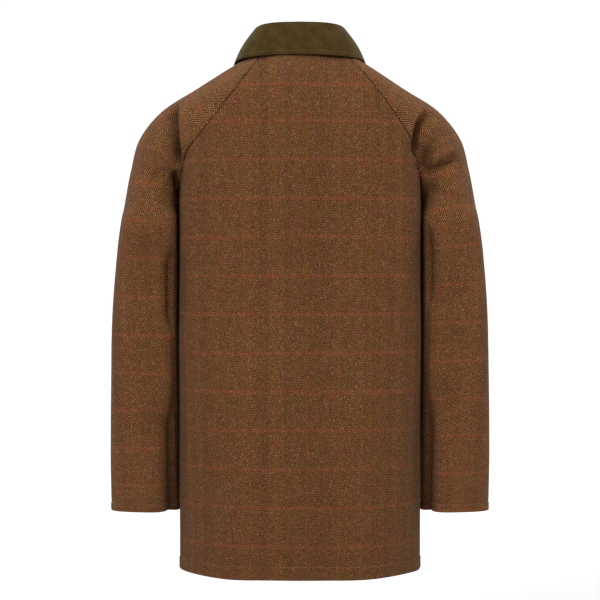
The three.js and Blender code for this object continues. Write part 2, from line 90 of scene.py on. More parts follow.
# Below the arms the sections turn to rounded boxes. A box's back is flat for so far from the centre, then
# tilts forwards by so many degrees, and its front likewise backwards.
BOX = table(
    "down flat_back tilt_back flat_front tilt_front",
    (235, 125, 24, 112, 28),
    (400, 118, 28, 108, 30),
    (600, 107, 37, 104, 33),
    (800, 101, 41, 102, 35),
)
BOX_EASE = (130, 330)  # where the sections turn from round ones to boxes
BOX_SQUARE = 13  # how tight the boxes' corners are
BOX_LEAN = 3  # degrees by which their sides lean in towards the back and the front

# The raglan seams' bearings in degrees, from the neck down to the underarm
RAGLAN = table(
    "down back front",
    (0, 54.7, 127),
    (20, 48, 125),
    (58, 48.6, 123),
    (99, 54, 121),
    (136, 60.6, 117),
    (165, 68, 110),
    (200, 76, 101.5),
    (UNDERARM, 90, 90),
)
RAGLAN_LEAN = 4.5  # the back seams lean this far towards the wearer's right at the neck
FRONT_NECK = 22  # where the front raglan seam reaches the neck
CENTRE_NECK = 74  # where the neckline crosses the centre front
NECK_DIP = 1.15  # over 1, the neckline reaches that height before the centre

# The sleeve above the underarm: its ridge over the shoulder, its seams and the arcs between them
YOKE = table(
    "up ridge_x ridge_y ridge_down back_down front_down"
    " back_turn back_reach back_crown front_turn front_reach front_crown",
    (0, 274, -13, 227, UNDERARM, UNDERARM, 0, 97, 103, 0, 92, 92),
    (0.15, 265, -11.5, 180, 198, 200, 42, 34, 72, 40, 40, 72),
    (0.31, 251, -9, 131, 160, 165, 100, 34, 58, 92, 36, 60),
    (0.5, 214, -6, 86.5, 122, 125, 114, 42, 60, 112, 40, 56),
    (0.69, 163, -4, 56, 75, 85, 106, 38, 56, 110, 36, 42),
    (0.94, 95, 0, 15.5, 15, 36, 118, 18, 30, 124, 16, 24),
    (1, 79.5, 2, 8, 0, FRONT_NECK, 132, 14, 20, 150, 12, 20),
)

# The sleeve below the underarm: its outer and inner edges, its depths behind and before the line between
# them, and how square its sections are on their outer half and on the one that hugs the body
TUBE = table(
    "along out_x out_y out_down in_x in_y in_down back front square hug",
    (0, 274, -13, 227, 187, 0, UNDERARM, 75, 69, 2.6, 3.4),
    (0.08, 279.5, -13, 266, 187.9, -8, 272, 85, 68, 3.2, 8),
    (0.17, 284.3, -13, 308, 188.5, -10, 312, 82, 67, 3.2, 7),
    (0.48, 294.6, -17, 461, 190, -17, 463, 65, 62, 3, 5.5),
    (0.8, 298.4, -29, 617, 190.8, -31, 617, 52, 54, 2.6, 4),
    (1, 298.6, -38, 713, 191.2, -41, 713, 46, 50, 2.3, 3),
)
ROUND_ARC = 4 / 3  # a cubic curve with handles this many times as long as it is deep is that deep
TUBE_EASE = 0.05  # the sections turn from that curve to flatter ones over this share of the sleeve

# Folds seen from behind (faces 1) or in front (faces -1), between two places given by their distance from
# the centre and below the nape. A hollow has a depth over 0 and a ridge under 0. Each bows outwards, fades
# over one width outside its line and another inside it, and is so much of those widths at its end.
FOLDS = table(
    "side faces from_x from_down to_x to_down bow outside inside depth narrow",
    # under the edge of the shoulder, where the sleeve falls away from the back
    (1, 1, 192, 66, 178, 192, 1, 20, 3, 24, 0.5),
    (1, 1, 182, 88, 172, 172, 1, 6, 12, -3, 1),
    (-1, 1, 201, 88, 176, 172, -13, 11, 4, 18, 0.7),
    (-1, 1, 214, 104, 196, 150, -6, 10, 9, -4, 1),
    (-1, 1, 190, 86, 168, 156, -10, 6, 12, -3, 1),
    (-1, 1, 199, 146, 180, 190, 2, 10, 8, 10, 1),
    # where the sleeve is drawn in at the armhole
    (1, 1, 190, 182, 182, 232, 0, 10, 4, 14, 0.25),
    (1, 1, 196, 176, 238, 214, 3, 10, 10, 3, 0.8),
    (-1, 1, 180, 194, 246, 162, 0, 6, 7, 9, 0.6),
    (-1, 1, 192, 174, 244, 146, 0, 9, 8, -4, 1),
    (-1, 1, 188, 206, 236, 232, 2, 10, 10, 3, 0.8),
    # where the sleeves fall away beside the body
    (1, 1, 192, 298, 192, 438, 0, 12, 12, 16, 1),
    (1, 1, 192, 420, 192, 640, 0, 5, 12, 4, 1),
    (1, 1, 192, 520, 193, 800, 0, 17, 12, 14, 1),
    (-1, 1, 192, 262, 192, 400, 0, 10, 12, 12, 1),
    (-1, 1, 192, 370, 192, 610, 0, 5, 12, 4, 1),
    (-1, 1, 192, 510, 193, 800, 0, 14, 12, 14, 1),
    # the same fall of the cloth in front
    (1, -1, 198, 96, 186, 178, -3, 16, 4, 15, 0.6),
    (-1, -1, 200, 92, 185, 170, -5, 14, 4, 15, 0.7),
    (1, -1, 190, 190, 240, 168, 0, 7, 8, 8, 0.7),
    (-1, -1, 190, 196, 236, 226, 2, 8, 9, 7, 0.7),
    # soft hollows and swells across the sleeves
    (1, 1, 196, 296, 256, 324, 0, 22, 18, 3, 1),
    (1, 1, 198, 372, 262, 350, 0, 20, 16, 2, 1),
    (1, 1, 196, 560, 250, 590, 0, 24, 20, 3, 1),
    (-1, 1, 196, 356, 252, 386, 0, 24, 18, 3, 1),
    (-1, 1, 200, 448, 262, 430, 0, 20, 16, 2, 1),
    (-1, 1, 196, 520, 250, 540, 0, 20, 22, 3, 1),
    (1, -1, 200, 420, 262, 398, 0, 22, 24, 3, 1),
    (1, -1, 204, 330, 256, 352, 0, 18, 16, 2, 1),
    (-1, -1, 200, 400, 262, 384, 0, 22, 24, 3, 1),
    (-1, -1, 202, 540, 258, 560, 0, 18, 16, 2, 1),
)
FOLD_FADE = 3.4  # how soon a fold reaches its depth from its ends
FOLD_FACING = 1.6  # and where the cloth turns to face backwards or forwards

# The closing
LAP = 28  # each front runs this far past the centre
LAP_LIFT = TWEED + 0.7
LAP_EASE = (46, 74)  # the left front comes down to the body over this stretch
BUTTON_RADIUS = 11.5
BUTTON_THICK = 4
BUTTON_DOWN = (118, 226, 334, 442, 550)
BUTTON_CLEAR = 0.4
BUTTON_ROUND = 1.3  # the rounding of its rim
BUTTON_RIM = 3  # the width of its raised rim
BUTTON_DISH = 1.1  # how deep its middle is sunk
BUTTON_HOLE = 1.1  # the radius of its four holes
BUTTON_HOLES_APART = 3.4
BUTTON_FLAT = 5.5  # the radius of the ring round its holes
BUTTON_DRILL = (-2, 6)  # from under the button to over it
BUTTON_THREAD_RISE = 0.5  # over the middle between two holes

# A buttonhole runs from just past the button's middle away from the edge, with a round end at the button
HOLE_FROM = -4
HOLE_TO = 21
HOLE_EYE = 2.1
HOLE_EYE_OPEN = 35  # degrees on either side of its slit
HOLE_HALF = 1.2  # half the width between its two rows of stitches

# The collar from the back (along 0) to the centre front (along 1): the top of its roll, and its edge
COLLAR = table(
    "along roll_x roll_y roll_up edge_x edge_y edge_up",
    (0, 0, 54.5, 43, 0, 77, -10),
    (0.13, 33, 51, 42.8, 36, 75, -10.5),
    (0.26, 56, 38, 42, 68, 67, -11.5),
    (0.35, 66, 22, 40, 93, 42, -12),
    (0.45, 70, 2, 35, 103, 4, -14),
    (0.55, 69, -20, 26, 103, -31, -25),
    (0.65, 64, -42, 12, 97, -60, -44),
    (0.85, 37, -69, -22, 78, -92, -84),
    (1, 9, -79, -42, 55, -108.5, -114),
)
ROLL_RADIUS = 5
ROLL_TURN = 153  # degrees round the roll before the fall goes straight
COLLAR_BELLY = 3  # the fall swells this much between its roll and its edge
BELLY_RISE = 0.4  # and so much upwards for each step outwards
COLLAR_END = 5  # the collar's ends stop this far from the centre front
STAND_CLEAR = 0.5

# How finely the cloth is divided
YOKE_ROWS = 88
BODY_ROWS = 150
TUBE_ROWS = 130
HEM_ROWS = 26  # the rows of a turned-up edge, which lie closer together
HEM_ROW = 1.3
BACK_COLUMNS = 150
FRONT_COLUMNS = 84
SLEEVE_COLUMNS = 76
CLOSER = 1.25  # over 1, the columns of a sleeve lie closer together towards its seam
COLLAR_STEPS = 240
STAND_COLUMNS = 16
ROLL_COLUMNS = 10
FALL_COLUMNS = 26
FINER = 3  # curves are measured in steps this much finer than their columns
GUIDE_STEP = 0.5  # between the places on a sleeve's ridge that its cloth is measured from
BUTTON_SIDES = 48
BUTTON_HOLE_SIDES = 16
ROUND_STEPS = 5
EYE_STEPS = 16
END_STEPS = 5
SLIT_STEPS = 8
SHARP = 50  # degrees between faces, over which an edge is drawn sharp

# The names of a panel's places in its flat cloth, and of what its mesh tells its material and its stitches
CLOTH_MAP = "cloth"
SEAM_AWAY = "seam_away"
# the painted light and shade, with the darkening towards the hem, that the cloth's colour is multiplied by
PAINTED_LIGHT_AND_TONE = "tone"
OUTWARD = "outward"

# Relief of the sewing
SEAM_DIP = 1.6
SEAM_SPREAD = 1.8
SEAM_LINE = 0.8  # the painted shade of the groove where two panels meet, a dark line, reaches this far on to each
BODY_HEM = 20
CUFF_HEM = 13
HEM_RISE = 0.7
HEM_TURN = 2.2  # the turned-up cloth inside a hem
HEM_TURN_OVER = 5  # it reaches this far above its stitches
STITCH_DIP = 0.7
STITCH_SPREAD = 1.5
EDGE_STITCH = 6  # from the front edges
COLLAR_STITCH = 5.5  # from the collar's edge
FREE, SEWN = 0.9, 0  # how far an edge of the cloth is rounded outwards
NO_SEAM = 100.0  # a distance past every seam

# Stitches: their pitch, length and thickness
ROW_STITCH = (3.2, 2.7, 0.6)
BUTTON_STITCH = (0.55, 1.3, 0.9)
HOLE_STITCH = (0.75, 2.5, 0.6)
THREAD_SINK = 0.1  # into the cloth

# Long shallow swells of the hanging cloth: their length across and down, their start and their height
SWELLS = table(
    "across down start height",
    (173, 610, 0.4, 0.8),
    (-118, 420, 2.1, 0.6),
    (79, 330, 4.0, 0.35),
    (260, -240, 1.2, 0.5),
)
SWELL_EASE = 40  # they fade within this distance of a panel's sides

# The weave, in threads: a two-and-two twill that turns every STRIPE threads, under a wide check
THREAD = 0.917
TWILL = 4
STRIPE = 13
CHECK_DOWN = 63
CHECK_ACROSS = 4 * STRIPE
RED_THREADS = 5  # every second one of them is red
RED_FROM = 12
OCHRE_THREADS = 3
OCHRE_FROM = 39
SLEEVE_CHECK = {"left": 27.7, "right": 47.0}  # the sleeves are cut from this much further down the cloth
SLEEVE_PRESSED = 1.03  # and pressed this much longer than it

# Painted light in the cloth's colour, as multiples of it: the sleeves are painted lighter and the shoulders
# lighter still, a painted highlight where light falls from above; the folds get painted shade; and the cloth
# goes darker towards the hem
SLEEVE_PAINTED_LIGHT = 1.09
SHOULDER_PAINTED_HIGHLIGHT = 1.17
HEM_TONE = 0.9
HEM_TONE_FROM = 420
CREASE_PAINTED_SHADE = 0.5  # painted shade: the share of the colour left in a fold that is CREASE_DEEP deep
CREASE_DEEP = 16

# The stage
CAMERA_AWAY = 2.3
CAMERA_HEIGHT = -0.382
LENS = 88.3
FLOOR_DROP = 0.25  # under the hem
FLOOR_SIZE = 60
FLOOR_SHADE = 0.5
# The dome's brightness at heights from the horizon (0) to overhead (1), as shares of its power
DOME = ((0, 0.43), (0.24, 0.43), (0.45, 0.1), (0.75, 0.14), (0.97, 0.8))
DOME_POWER = 2.5
# Soft suns: bearings from the middle of the back and heights in degrees, and their powers
SUNS = table(
    "bearing height power",
    (30, 30, 2.0),
    (-30, 30, 1.4),
    (0, 75, 1.6),
    (140, 30, 1.3),
    (-140, 30, 1.3),
)
SUN_SPREAD = 18


def unit(vectors):
    """Each vector at a length of 1."""
    return vectors / np.maximum(np.linalg.norm(vectors, axis=-1, keepdims=True), 1e-9)


def vec(x, y, z):
    """Points from arrays or numbers of their coordinates."""
    return np.stack(np.broadcast_arrays(x, y, z), axis=-1).astype(float)


def mix(a, b, share):
    """The value a share of the way from one to the other."""
    return a + (b - a) * share


def ease(value):
    """0 under 0, 1 over 1 and smooth between them."""
    held = np.clip(value, 0, 1)
    return held * held * (3 - 2 * held)


def read(rows, by, at, name):
    """The value of one column where another column reaches a number, on a smooth curve through the rows."""
    x, y = rows[by], rows[name]
    places = np.arange(len(x))
    before, after = np.maximum(places - 1, 0), np.minimum(places + 1, len(x) - 1)
    slope = (y[after] - y[before]) / (x[after] - x[before])
    i = np.clip(np.searchsorted(x, at) - 1, 0, len(x) - 2)
    span = x[i + 1] - x[i]
    t = np.clip((at - x[i]) / span, 0, 1)
    start = (1 + 2 * t) * (1 - t) ** 2 * y[i] + t * (1 - t) ** 2 * span * slope[i]
    end = t**2 * (3 - 2 * t) * y[i + 1] + t**2 * (t - 1) * span * slope[i + 1]
    return start + end


def on_body(bearing, down):
    """Points of the body's outer face."""
    behind = np.cos(bearing) >= 0
    half = read(BODY, "down", down, "half")

    def seen(rows, back, front):
        return np.where(behind, read(rows, "down", down, back), read(rows, "down", down, front))

    depth = seen(BODY, "back", "front")
    square = seen(BODY, "square_back", "square_front")
    flat = seen(BOX, "flat_back", "flat_front")
    tilt = np.radians(seen(BOX, "tilt_back", "tilt_front"))
    sideways, forwards = np.abs(np.sin(bearing)), np.abs(np.cos(bearing))
    round_reach = ((sideways / half) ** square + (forwards / depth) ** square) ** (-1 / square)
    planes = (
        forwards / depth,
        (sideways + forwards * math.tan(math.radians(BOX_LEAN))) / half,
        (sideways * np.sin(tilt) + forwards * np.cos(tilt)) / (flat * np.sin(tilt) + depth * np.cos(tilt)),
    )
    box_reach = sum(plane**BOX_SQUARE for plane in planes) ** (-1 / BOX_SQUARE)
    reach = mix(round_reach, box_reach, ease((down - BOX_EASE[0]) / (BOX_EASE[1] - BOX_EASE[0])))
    return vec(reach * np.sin(bearing), reach * np.cos(bearing), -down)


def seam_bearing(side, name, down):
    """The bearing of a raglan seam on one side of the back or the front."""
    lean = -side * RAGLAN_LEAN * (1 - down / UNDERARM) if name == "back" else 0
    return side * np.radians(read(RAGLAN, "down", down, name) + lean)


def lengths(points):
    """The distance along a line of points from its start to each of them."""
    steps = np.linalg.norm(np.diff(points, axis=0), axis=-1)
    return np.concatenate([[0], np.cumsum(steps)])


def reaches(points):
    """How far each point lies along its own row of points."""
    steps = np.linalg.norm(np.diff(points, axis=1), axis=2)
    return np.cumsum(np.pad(steps, ((0, 0), (1, 0))), axis=1)


def at_lengths(points, where):
    """Points on a line of points at distances along it."""
    along = lengths(points)
    return np.stack([np.interp(where, along, column) for column in points.T], axis=-1)


def evenly(points, count, closer=1):
    """A fine line of points divided evenly, or more closely towards its start."""
    return at_lengths(points, np.linspace(0, 1, count + 1) ** closer * lengths(points)[-1])


def back_row(down):
    """A level row of the back from the wearer's left to the right."""
    left, right = (seam_bearing(side, "back", min(down, UNDERARM)) for side in (1, -1))
    shares = np.linspace(0, 1, BACK_COLUMNS * FINER + 1)
    return evenly(on_body(mix(left, right, shares), down), BACK_COLUMNS)


def front_row(side, down):
    """A row of one front from its seam to its edge past the centre, dipping to the centre near the neck."""
    level = (down - FRONT_NECK) / (UNDERARM - FRONT_NECK)
    centre = mix(CENTRE_NECK, UNDERARM, level) if down < UNDERARM else down
    start = seam_bearing(side, "front", min(down, UNDERARM))
    end = side * (np.pi + np.arctan(LAP / read(BODY, "down", centre, "front")))
    shares = np.linspace(0, 1, FRONT_COLUMNS * FINER + 1)
    dip = np.sin(np.clip(shares * NECK_DIP, 0, 1) * np.pi / 2)
    return evenly(on_body(mix(start, end, shares), mix(down, centre, dip)), FRONT_COLUMNS)


ACROSS_SLEEVE = np.linspace(0, 1, SLEEVE_COLUMNS * FINER + 1)[:, None]


def bend(start, start_handle, end_handle, end):
    """A cubic curve over one half of a sleeve, from its seam out to its ridge."""
    t = ACROSS_SLEEVE
    near = (1 - t) ** 3 * start + 3 * (1 - t) ** 2 * t * start_handle
    return near + 3 * (1 - t) * t**2 * end_handle + t**3 * end


def yoke_row(side, name, up):
    """A row of half a sleeve above the underarm."""
    seen = {column: read(YOKE, "up", up, column) for column in YOKE}
    sense = 1 if name == "back" else -1
    down = seen[name + "_down"]
    seam = on_body(seam_bearing(side, name, down), down)
    ridge = vec(side * seen["ridge_x"], seen["ridge_y"], -seen["ridge_down"])
    turn = math.radians(seen[name + "_turn"])
    reach = seen[name + "_reach"]
    rise = (ridge[2] - seam[2]) / 3
    from_seam = vec(side * math.sin(turn) * reach, sense * math.cos(turn) * reach, rise)
    from_ridge = vec(0, sense * seen[name + "_crown"], 0)
    return evenly(bend(seam, seam + from_seam, ridge + from_ridge, ridge), SLEEVE_COLUMNS, CLOSER)


def tube_row(side, name, along):
    """A row of half a sleeve below the underarm."""
    seen = {column: read(TUBE, "along", along, column) for column in TUBE}
    inner = vec(side * seen["in_x"], seen["in_y"], -seen["in_down"])
    outer = vec(side * seen["out_x"], seen["out_y"], -seen["out_down"])
    depth = vec(0, (1 if name == "back" else -1) * seen[name], 0)
    arched = bend(inner, inner + ROUND_ARC * depth, outer + ROUND_ARC * depth, outer)
    across, out = np.cos(np.pi * ACROSS_SLEEVE), np.abs(np.sin(np.pi * ACROSS_SLEEVE))
    power = 2 / np.where(ACROSS_SLEEVE < 0.5, seen["hug"], seen["square"])
    across = np.sign(across) * np.abs(across) ** power
    flatter = mix(inner, outer, (1 - across) / 2) + depth * out**power
    return evenly(mix(arched, flatter, ease(along / TUBE_EASE)), SLEEVE_COLUMNS, CLOSER)


def divided(start, end, count, close):
    """Places from start to end without the start, with HEM_ROWS of them a distance close apart at the end."""
    turn = end - close * HEM_ROWS
    return np.concatenate([np.linspace(start, turn, count + 1)[1:], np.linspace(turn, end, HEM_ROWS + 1)[1:]])


def levels(name):
    """How far down the rows of the back or the front lie, from the neck to the hem."""
    ups = np.linspace(1, 0, YOKE_ROWS + 1)
    above = [read(YOKE, "up", up, name + "_down") for up in ups[:-1]]
    return [*above, UNDERARM, *divided(UNDERARM, HEM, BODY_ROWS, HEM_ROW)]


class Sheet:
    """A panel's outer face: rows of points, their normals, and their places in the flat cloth."""

    def __init__(self, points, sense, flat=None):
        self.points = points
        self.sense = sense
        self.flat = flat
        self.inside = 0
        self.seam_away = np.full(points.shape[:2], NO_SEAM)
        self.tone = np.ones(points.shape[:2])
        self.find_normals()

    def find_normals(self):
        padded = np.pad(self.points, ((1, 1), (1, 1), (0, 0)), mode="edge")
        downwards = padded[2:, 1:-1] - padded[:-2, 1:-1]
        across = padded[1:-1, 2:] - padded[1:-1, :-2]
        self.normals = self.sense * unit(np.cross(downwards, across))

    def move_out(self, amount):
        """Moves each point along its normal."""
        self.points = self.points + self.normals * amount[..., None]
        self.find_normals()

    def from_side(self, last):
        """How far each point lies from the first column, or the last one, square to it."""
        points = self.points[:, ::-1] if last else self.points
        edge = unit(np.gradient(points[:, 0], axis=0))
        lean = np.linalg.norm(np.cross(edge, unit(points[:, 1] - points[:, 0])), axis=-1)
        away = reaches(points) * lean[:, None]
        return away[:, ::-1] if last else away

    def from_bottom(self):
        """How far each point lies above the last row."""
        return reaches(self.points[::-1].swapaxes(0, 1)).T[::-1]

    def draw_in(self, gap):
        """Draws both sides in by half of a seam's gap."""
        first = unit(self.points[:, 1] - self.points[:, 0]) * gap / 2
        last = unit(self.points[:, -2] - self.points[:, -1]) * gap / 2
        self.points[:, 0] += first
        self.points[:, -1] += last


def body_flat(points, centre_back):
    """Places in the cloth of the back or a front: across from the centre and down from the nape."""
    reach = reaches(points)
    middle = np.array([np.interp(0, *sort_by(row[:, 0], away)) for row, away in zip(points, reach)])
    turned = np.sign(points[:, -1, 0] - points[:, 0, 0])
    across = (reach - middle[:, None]) * turned[:, None]
    down = np.interp(-points[..., 2], -centre_back[:, 2], lengths(centre_back))
    return np.stack([across, down], axis=-1)


def sort_by(keys, values):
    """Both arrays in the rising order of the first."""
    order = np.argsort(keys)
    return keys[order], values[order]


def sleeve_flat(points, name, start):
    """Places in the cloth of half a sleeve: across from its ridge, and down along it from the neck."""
    ridge = points[:, -1]
    reach = reaches(points[:, ::-1])[:, ::-1]
    total = lengths(ridge)
    fine = np.arange(0, total[-1], GUIDE_STEP)
    guide = at_lengths(ridge, fine)[:, [0, 2]]
    tangent = unit(np.gradient(guide, axis=0))
    down = np.empty(points.shape[:2])
    for r, row in enumerate(points[..., [0, 2]]):
        away = row[:, None] - guide[None]
        near = np.argmin((away**2).sum(axis=2), axis=1)
        rest = away[np.arange(len(row)), near]
        down[r] = fine[near] + (rest * tangent[near]).sum(axis=1)
    slant = total[:, None] - down
    across = np.sqrt(np.maximum(reach**2 - slant**2, 0))
    return np.stack([across if name == "back" else -across, down / SLEEVE_PRESSED + start], axis=-1)


def make_sheets():
    """The panels' outer faces, smooth and without any sewing or folds."""
    centre_back = on_body(np.zeros(HEM + 1), np.arange(HEM + 1.0))
    made = {}

    def add_body(name, points, sense):
        made[name] = Sheet(points, sense, body_flat(points, centre_back))

    add_body("back", np.array([back_row(down) for down in levels("back")]), 1)
    ups = np.linspace(1, 0, YOKE_ROWS + 1)
    cuff_row = HEM_ROW / (TUBE["out_down"][-1] - UNDERARM)
    for side, word in ((1, "left"), (-1, "right")):
        add_body("front_" + word, np.array([front_row(side, down) for down in levels("front")]), -side)
        for name in ("back", "front"):
            yoke = [yoke_row(side, name, up) for up in ups]
            tube = [tube_row(side, name, along) for along in divided(0, 1, TUBE_ROWS, cuff_row)]
            points = np.array([*yoke, *tube])
            sense = -side if name == "back" else side
            flat = sleeve_flat(points, name, SLEEVE_CHECK[word])
            made[f"sleeve_{word}_{name}"] = Sheet(points, sense, flat)
    return made


def meet(sheets, places, bias=(0, 0, 0)):
    """Where sheets meet they share one normal, so that their rims lie side by side."""
    shared = unit(np.array(bias, float) + sum(sheets[name].normals[rows, c] for name, rows, c in places))
    for name, rows, c in places:
        sheets[name].normals[rows, c] = shared


def join(sheets):
    """Shares the normals of all the panels at their seams."""
    above = slice(0, YOKE_ROWS)
    below = slice(YOKE_ROWS + 1, None)
    corner = slice(YOKE_ROWS, YOKE_ROWS + 1)
    for word, column in (("left", 0), ("right", -1)):
        front = "front_" + word
        behind, before = f"sleeve_{word}_back", f"sleeve_{word}_front"
        meet(sheets, [("back", above, column), (behind, above, 0)])
        meet(sheets, [(front, above, 0), (before, above, 0)])
        underarm = [("back", corner, column), (front, corner, 0), (behind, corner, 0), (before, corner, 0)]
        meet(sheets, underarm, bias=(0, 0, -1))
        meet(sheets, [("back", below, column), (front, below, 0)])
        meet(sheets, [(behind, below, 0), (before, below, 0)])
        meet(sheets, [(behind, slice(None), -1), (before, slice(None), -1)])


def fold_depth(points, normals):
    """How deep the folds are at points that face backwards or forwards."""
    depth = np.zeros(points.shape[:2])
    flat = points[..., [0, 2]]
    for i in range(len(FOLDS["side"])):
        fold = {name: column[i] for name, column in FOLDS.items()}
        side = fold["side"]
        start = np.array([fold["from_x"] * side, -fold["from_down"]])
        run = np.array([fold["to_x"] * side, -fold["to_down"]]) - start
        place = flat - start
        length = np.linalg.norm(run)
        share = place @ run / length**2
        crossed = place[..., 0] * run[1] - place[..., 1] * run[0]
        away = -side * crossed / length - 4 * fold["bow"] * share * (1 - share)
        spread = np.where(away > 0, fold["outside"], fold["inside"])
        spread = spread * mix(1, fold["narrow"], np.clip(share, 0, 1))
        ends = ease(share * FOLD_FADE) * ease((1 - share) * FOLD_FADE)
        facing = ease(fold["faces"] * normals[..., 1] * FOLD_FACING) * (points[..., 0] * side > 0)
        depth += fold["depth"] * np.exp(-((away / spread) ** 2)) * facing * ends
    return depth


def swell(flat):
    """The long shallow swells at places in the flat cloth."""
    turns = flat[..., :1] / SWELLS["across"] + flat[..., 1:] / SWELLS["down"]
    return (SWELLS["height"] * np.sin(2 * np.pi * turns + SWELLS["start"])).sum(axis=-1)


def groove(away, dip, spread):
    """A rounded groove at a distance of 0."""
    return -dip * np.exp(-((away / spread) ** 2))


def sewing(sheet, name):
    """The relief of the seams, hems and rows of stitches on a panel."""
    first, last = sheet.from_side(False), sheet.from_side(True)
    if name.startswith("front"):
        sheet.seam_away = first
        relief = groove(last - EDGE_STITCH, STITCH_DIP, STITCH_SPREAD)
    else:
        sheet.seam_away = np.minimum(first, last)
        relief = 0
    relief = relief + groove(sheet.seam_away, SEAM_DIP, SEAM_SPREAD)
    up = sheet.from_bottom()
    hem = hem_height(name)
    relief += HEM_RISE * ease((hem - up) / STITCH_SPREAD)
    relief += groove(up - hem, STITCH_DIP, STITCH_SPREAD)
    sheet.inside = HEM_TURN * ease(hem + HEM_TURN_OVER - up)
    return relief


def tone(sheet, name):
    """Painted light on a panel: the sleeves painted lighter and the shoulders lighter still, row by row, and
    the rest darker towards the hem.
    """
    if name.startswith("sleeve"):
        share = ease(1 - np.arange(len(sheet.points)) / YOKE_ROWS)
        return np.broadcast_to(mix(SLEEVE_PAINTED_LIGHT, SHOULDER_PAINTED_HIGHLIGHT, share)[:, None], sheet.points.shape[:2])
    return mix(1, HEM_TONE, ease((-sheet.points[..., 2] - HEM_TONE_FROM) / (HEM - HEM_TONE_FROM)))


def hem_height(name):
    """How far a panel's hem or cuff stitches lie above its last row."""
    return CUFF_HEM if name.startswith("sleeve") else BODY_HEM


def dress(sheets):
    """Lays the left front over the right one, and gives the panels their folds and sewing."""
    lap = sheets["front_left"]
    lap.move_out(LAP_LIFT * ease((LAP_EASE[1] - lap.points[..., 0]) / (LAP_EASE[1] - LAP_EASE[0])))
    join(sheets)
    for name, made in sheets.items():
        inside = ease(made.from_side(False) / SWELL_EASE) * ease(made.from_side(True) / SWELL_EASE)
        folded = fold_depth(made.points, made.normals)
        # painted shade in the folds, the darker the deeper they are, on top of the panel's painted light
        made.tone = tone(made, name) * mix(1, CREASE_PAINTED_SHADE, np.clip(folded / CREASE_DEEP, 0, 1))
        made.move_out(swell(made.flat) * inside - folded)
    join(sheets)
    for name, made in sheets.items():
        made.move_out(sewing(made, name))
    join(sheets)


def neckline(sheets, side):
    """The neckline from the back's middle to the centre front on one side, along the panels' top edges."""
    word = "left" if side > 0 else "right"
    back = sheets["back"].points[0]
    middle = BACK_COLUMNS // 2
    half = back[: middle + 1][::-1] if side > 0 else back[middle:]
    over_shoulder = sheets[f"sleeve_{word}_back"].points[0]
    down_shoulder = sheets[f"sleeve_{word}_front"].points[0][::-1]
    front = sheets["front_" + word].points[0]
    front = front[front[:, 0] * side > COLLAR_END]
    return np.concatenate([half, over_shoulder[1:], down_shoulder[1:], front[1:]])


def collar_section(base, side, along):
    """The collar at one place round the neck: up the stand's inside, over the roll and down to the edge."""
    seen = {column: read(COLLAR, "along", along, column) for column in COLLAR}
    roll = vec(side * seen["roll_x"], seen["roll_y"], seen["roll_up"])
    edge = vec(side * seen["edge_x"], seen["edge_y"], seen["edge_up"])
    upwards = vec(0, 0, 1)
    out = unit((edge - roll) * vec(1, 1, 0))
    foot = base + upwards * STAND_CLEAR - out * COLLAR_CLOTH
    centre = roll - upwards * ROLL_RADIUS
    top = centre - out * ROLL_RADIUS
    shares = np.linspace(0, 1, STAND_COLUMNS + 1)[:, None]
    stand = mix(foot, top, shares)
    angle = np.radians(ROLL_TURN) * np.linspace(0, 1, ROLL_COLUMNS + 1)[:, None]
    over = centre - out * ROLL_RADIUS * np.cos(angle) + upwards * ROLL_RADIUS * np.sin(angle)
    shares = np.linspace(0, 1, FALL_COLUMNS + 1)[1:, None]
    belly = unit(out + upwards * BELLY_RISE) * COLLAR_BELLY
    fall = mix(over[-1], edge, shares) + belly * np.sin(np.pi * shares)
    return stand, np.concatenate([over, fall])


def collar_sheets(sheets):
    """The collar's stand and fall, from the centre front on the right, round the back, to the left."""
    made = []
    for side in (-1, 1):
        line = neckline(sheets, side)
        alongs = np.linspace(0, 1, COLLAR_STEPS // 2 + 1)
        bases = at_lengths(line, alongs * lengths(line)[-1])
        round_neck = [collar_section(base, side, along) for base, along in zip(bases, alongs)]
        made += round_neck[::-1] if side < 0 else round_neck[1:]
    stand, fall = (Sheet(np.array(points), 1) for points in zip(*made))
    for piece in (stand, fall):
        piece.flat = collar_flat(piece.points)
    shared = unit(stand.normals[:, -1] + fall.normals[:, 0])
    stand.normals[:, -1] = shared
    fall.normals[:, 0] = shared
    return stand, fall


def collar_flat(points):
    """Places in the collar's cloth: across from its middle, and down from its first column."""
    middle = points.shape[1] // 2
    across = lengths(points[:, middle])
    down = reaches(points)
    return np.stack([np.broadcast_to((across - across[-1] / 2)[:, None], down.shape), down], axis=-1)


def mesh_object(name, points, faces, flat=None, marks=()):
    """A mesh object from points in millimetres and faces, with places in flat cloth as its UV map.

    marks are pairs of a name and a number for each point, which the cloth's material reads.
    """
    mesh = bpy.data.meshes.new(name)
    mesh.from_pydata((points * MM).tolist(), [], faces.tolist() if isinstance(faces, np.ndarray) else faces)
    if flat is not None:
        corners = np.empty(len(mesh.loops), np.int32)
        mesh.loops.foreach_get("vertex_index", corners)
        layer = mesh.uv_layers.new(name=CLOTH_MAP)
        layer.data.foreach_set("uv", (flat[corners] * MM).ravel())
    for mark, values in marks:
        mesh.attributes.new(mark, "FLOAT", "POINT").data.foreach_set("value", values)
    mesh.shade_smooth()
    mesh.set_sharp_from_angle(angle=math.radians(SHARP))
    made = bpy.data.objects.new(name, mesh)
    bpy.context.scene.collection.objects.link(made)
    return made


